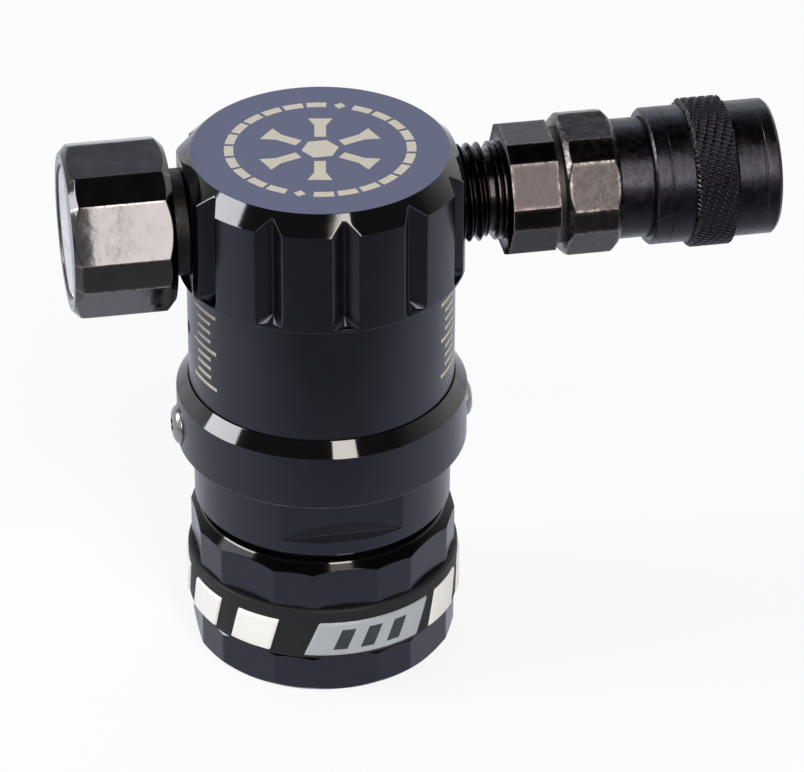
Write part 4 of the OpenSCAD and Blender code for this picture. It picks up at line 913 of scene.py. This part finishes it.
turned("sleeve_body", sleeve_profile, black_oxide, "sleeve", ("coupler_sleeve",), angles=540,
       cut=knurl, outside=lambda r, z: (r > 9.8) & (z > knurl_start - 0.05) & (z < knurl_end + 0.05),
       place=to_coupler, wear=sleeve_wear)

# -------- coupler inside
# Springs, a snap ring and locking balls of bright steel, a brass poppet that shuts when the
# plug leaves, and black seals. They keep their CAD shape.
dress(spring_steel, "sleeve_spring", "snap_ring", "locking_balls", "poppet_spring")
dress(brass, "coupler_poppet")
dress(nitrile, "plug_seal", "poppet_seal")

# -------- studio
# A plain white paper floor that runs far back, a softbox on the left, a tall strip light
# to the right of the camera, two wide dim panels behind, and an even dim room. In what the
# black metal mirrors, the near floor is dark, as if a black cloth lay there.
half_floor = 3
mesh = bpy.data.meshes.new("floor")
floor_corners = [(x * half_floor, y * half_floor, 0) for x, y in ((-1, -1), (1, -1), (1, 1), (-1, 1))]
mesh.from_pydata(floor_corners, [], [(0, 1, 2, 3)])
floor = bpy.data.objects.new("floor", mesh)
bpy.context.scene.collection.objects.link(floor)
paper = bpy.data.materials.new("white_paper")
tree = blank(paper)
path = add(tree, "LightPath").outputs
seen = add(tree, "Math", {0: path["Is Camera Ray"], 1: path["Is Glossy Ray"]}, operation="ADD")
seen = add(tree, "Math", {0: seen.outputs[0], 1: path["Is Transmission Ray"]}, operation="ADD",
           use_clamp=True)
even = add(tree, "Math", {0: seen.outputs[0], 1: 0.85}, operation="MULTIPLY")
depth = add(tree, "SeparateXYZ", {"Vector": add(tree, "TexCoord").outputs["Object"]}).outputs["Y"]
cloth = add(tree, "MapRange", {"Value": depth}, interpolation_type="SMOOTHSTEP",
            From_Min=-0.12, From_Max=-0.03, To_Min=0.12, To_Max=0.9)
glow = add(tree, "Mix", {0: path["Is Glossy Ray"], number_a: 1.0, number_b: cloth.outputs[0]},
           data_type="FLOAT")
cool = add(tree, "Mix", {"Factor": path["Is Glossy Ray"], color_a: (1, 1, 1, 1), color_b: (0.86, 0.88, 1, 1)},
           data_type="RGBA")
matte = add(tree, "BsdfDiffuse", Color=linear("#EDEDED"))
white = add(tree, "Emission", {"Strength": glow.outputs[0], "Color": cool.outputs[mixed_color]})
surface = add(tree, "MixShader", {0: even.outputs[0], 1: matte.outputs[0], 2: white.outputs[0]})
add(tree, "OutputMaterial", {"Surface": surface.outputs[0]})
mesh.materials.append(paper)

world = bpy.data.worlds.new("room")
bpy.context.scene.world = world
tree = blank(world)
path = add(tree, "LightPath").outputs
height = add(tree, "SeparateXYZ", {"Vector": add(tree, "TexCoord").outputs["Generated"]}).outputs["Z"]
wall = add(tree, "MapRange", {"Value": height}, From_Min=0.25, From_Max=0.6, To_Min=0.95, To_Max=0.05)
shiny = add(tree, "Mix", {0: path["Is Glossy Ray"], number_a: 0.3, number_b: wall.outputs[0]},
            data_type="FLOAT")
seen = add(tree, "Math", {0: path["Is Camera Ray"], 1: path["Is Transmission Ray"]}, operation="MAXIMUM")
level = add(tree, "Mix", {0: seen.outputs[0], number_a: shiny.outputs[0], number_b: 1.0}, data_type="FLOAT")
room = add(tree, "Background", {"Strength": level.outputs[0]}, Color=(1, 1, 1, 1))
add(tree, "OutputWorld", {"Surface": room.outputs[0]})


def softbox(name, turn_right, height, width, tall, radiance, color):
    """A rectangular lamp that faces the object, placed and sized by angles in degrees: its
    turn to the right of the camera and its height above the horizon. Its power is its
    radiance times pi times its area."""
    distance, aim = 1.1, Vector((0, 0, 0.055))
    t, h = azimuth + math.radians(turn_right), math.radians(height)
    toward = Vector((math.sin(t) * math.cos(h), -math.cos(t) * math.cos(h), math.sin(h)))
    data = bpy.data.lights.new(name, "AREA")
    data.shape = "RECTANGLE"
    data.size = 2 * distance * math.tan(math.radians(width / 2))
    data.size_y = 2 * distance * math.tan(math.radians(tall / 2))
    data.energy = radiance * math.pi * data.size * data.size_y
    data.color = color
    lamp = bpy.data.objects.new(name, data)
    lamp.location = aim + toward * distance
    lamp.rotation_mode = "QUATERNION"
    lamp.rotation_quaternion = (-toward).to_track_quat("-Z", "Y")
    bpy.context.scene.collection.objects.link(lamp)


softbox("left_box", -86, 30, 24, 32, 8.5, (0.95, 0.96, 1.0))
softbox("right_strip", 21, 36, 15, 46, 9.5, (1.0, 0.94, 0.88))
softbox("back_panel", 180, 30, 75, 15, 1.7, (0.82, 0.86, 1.0))
softbox("back_top", 180, 48, 75, 20, 0.6, (0.82, 0.86, 1.0))
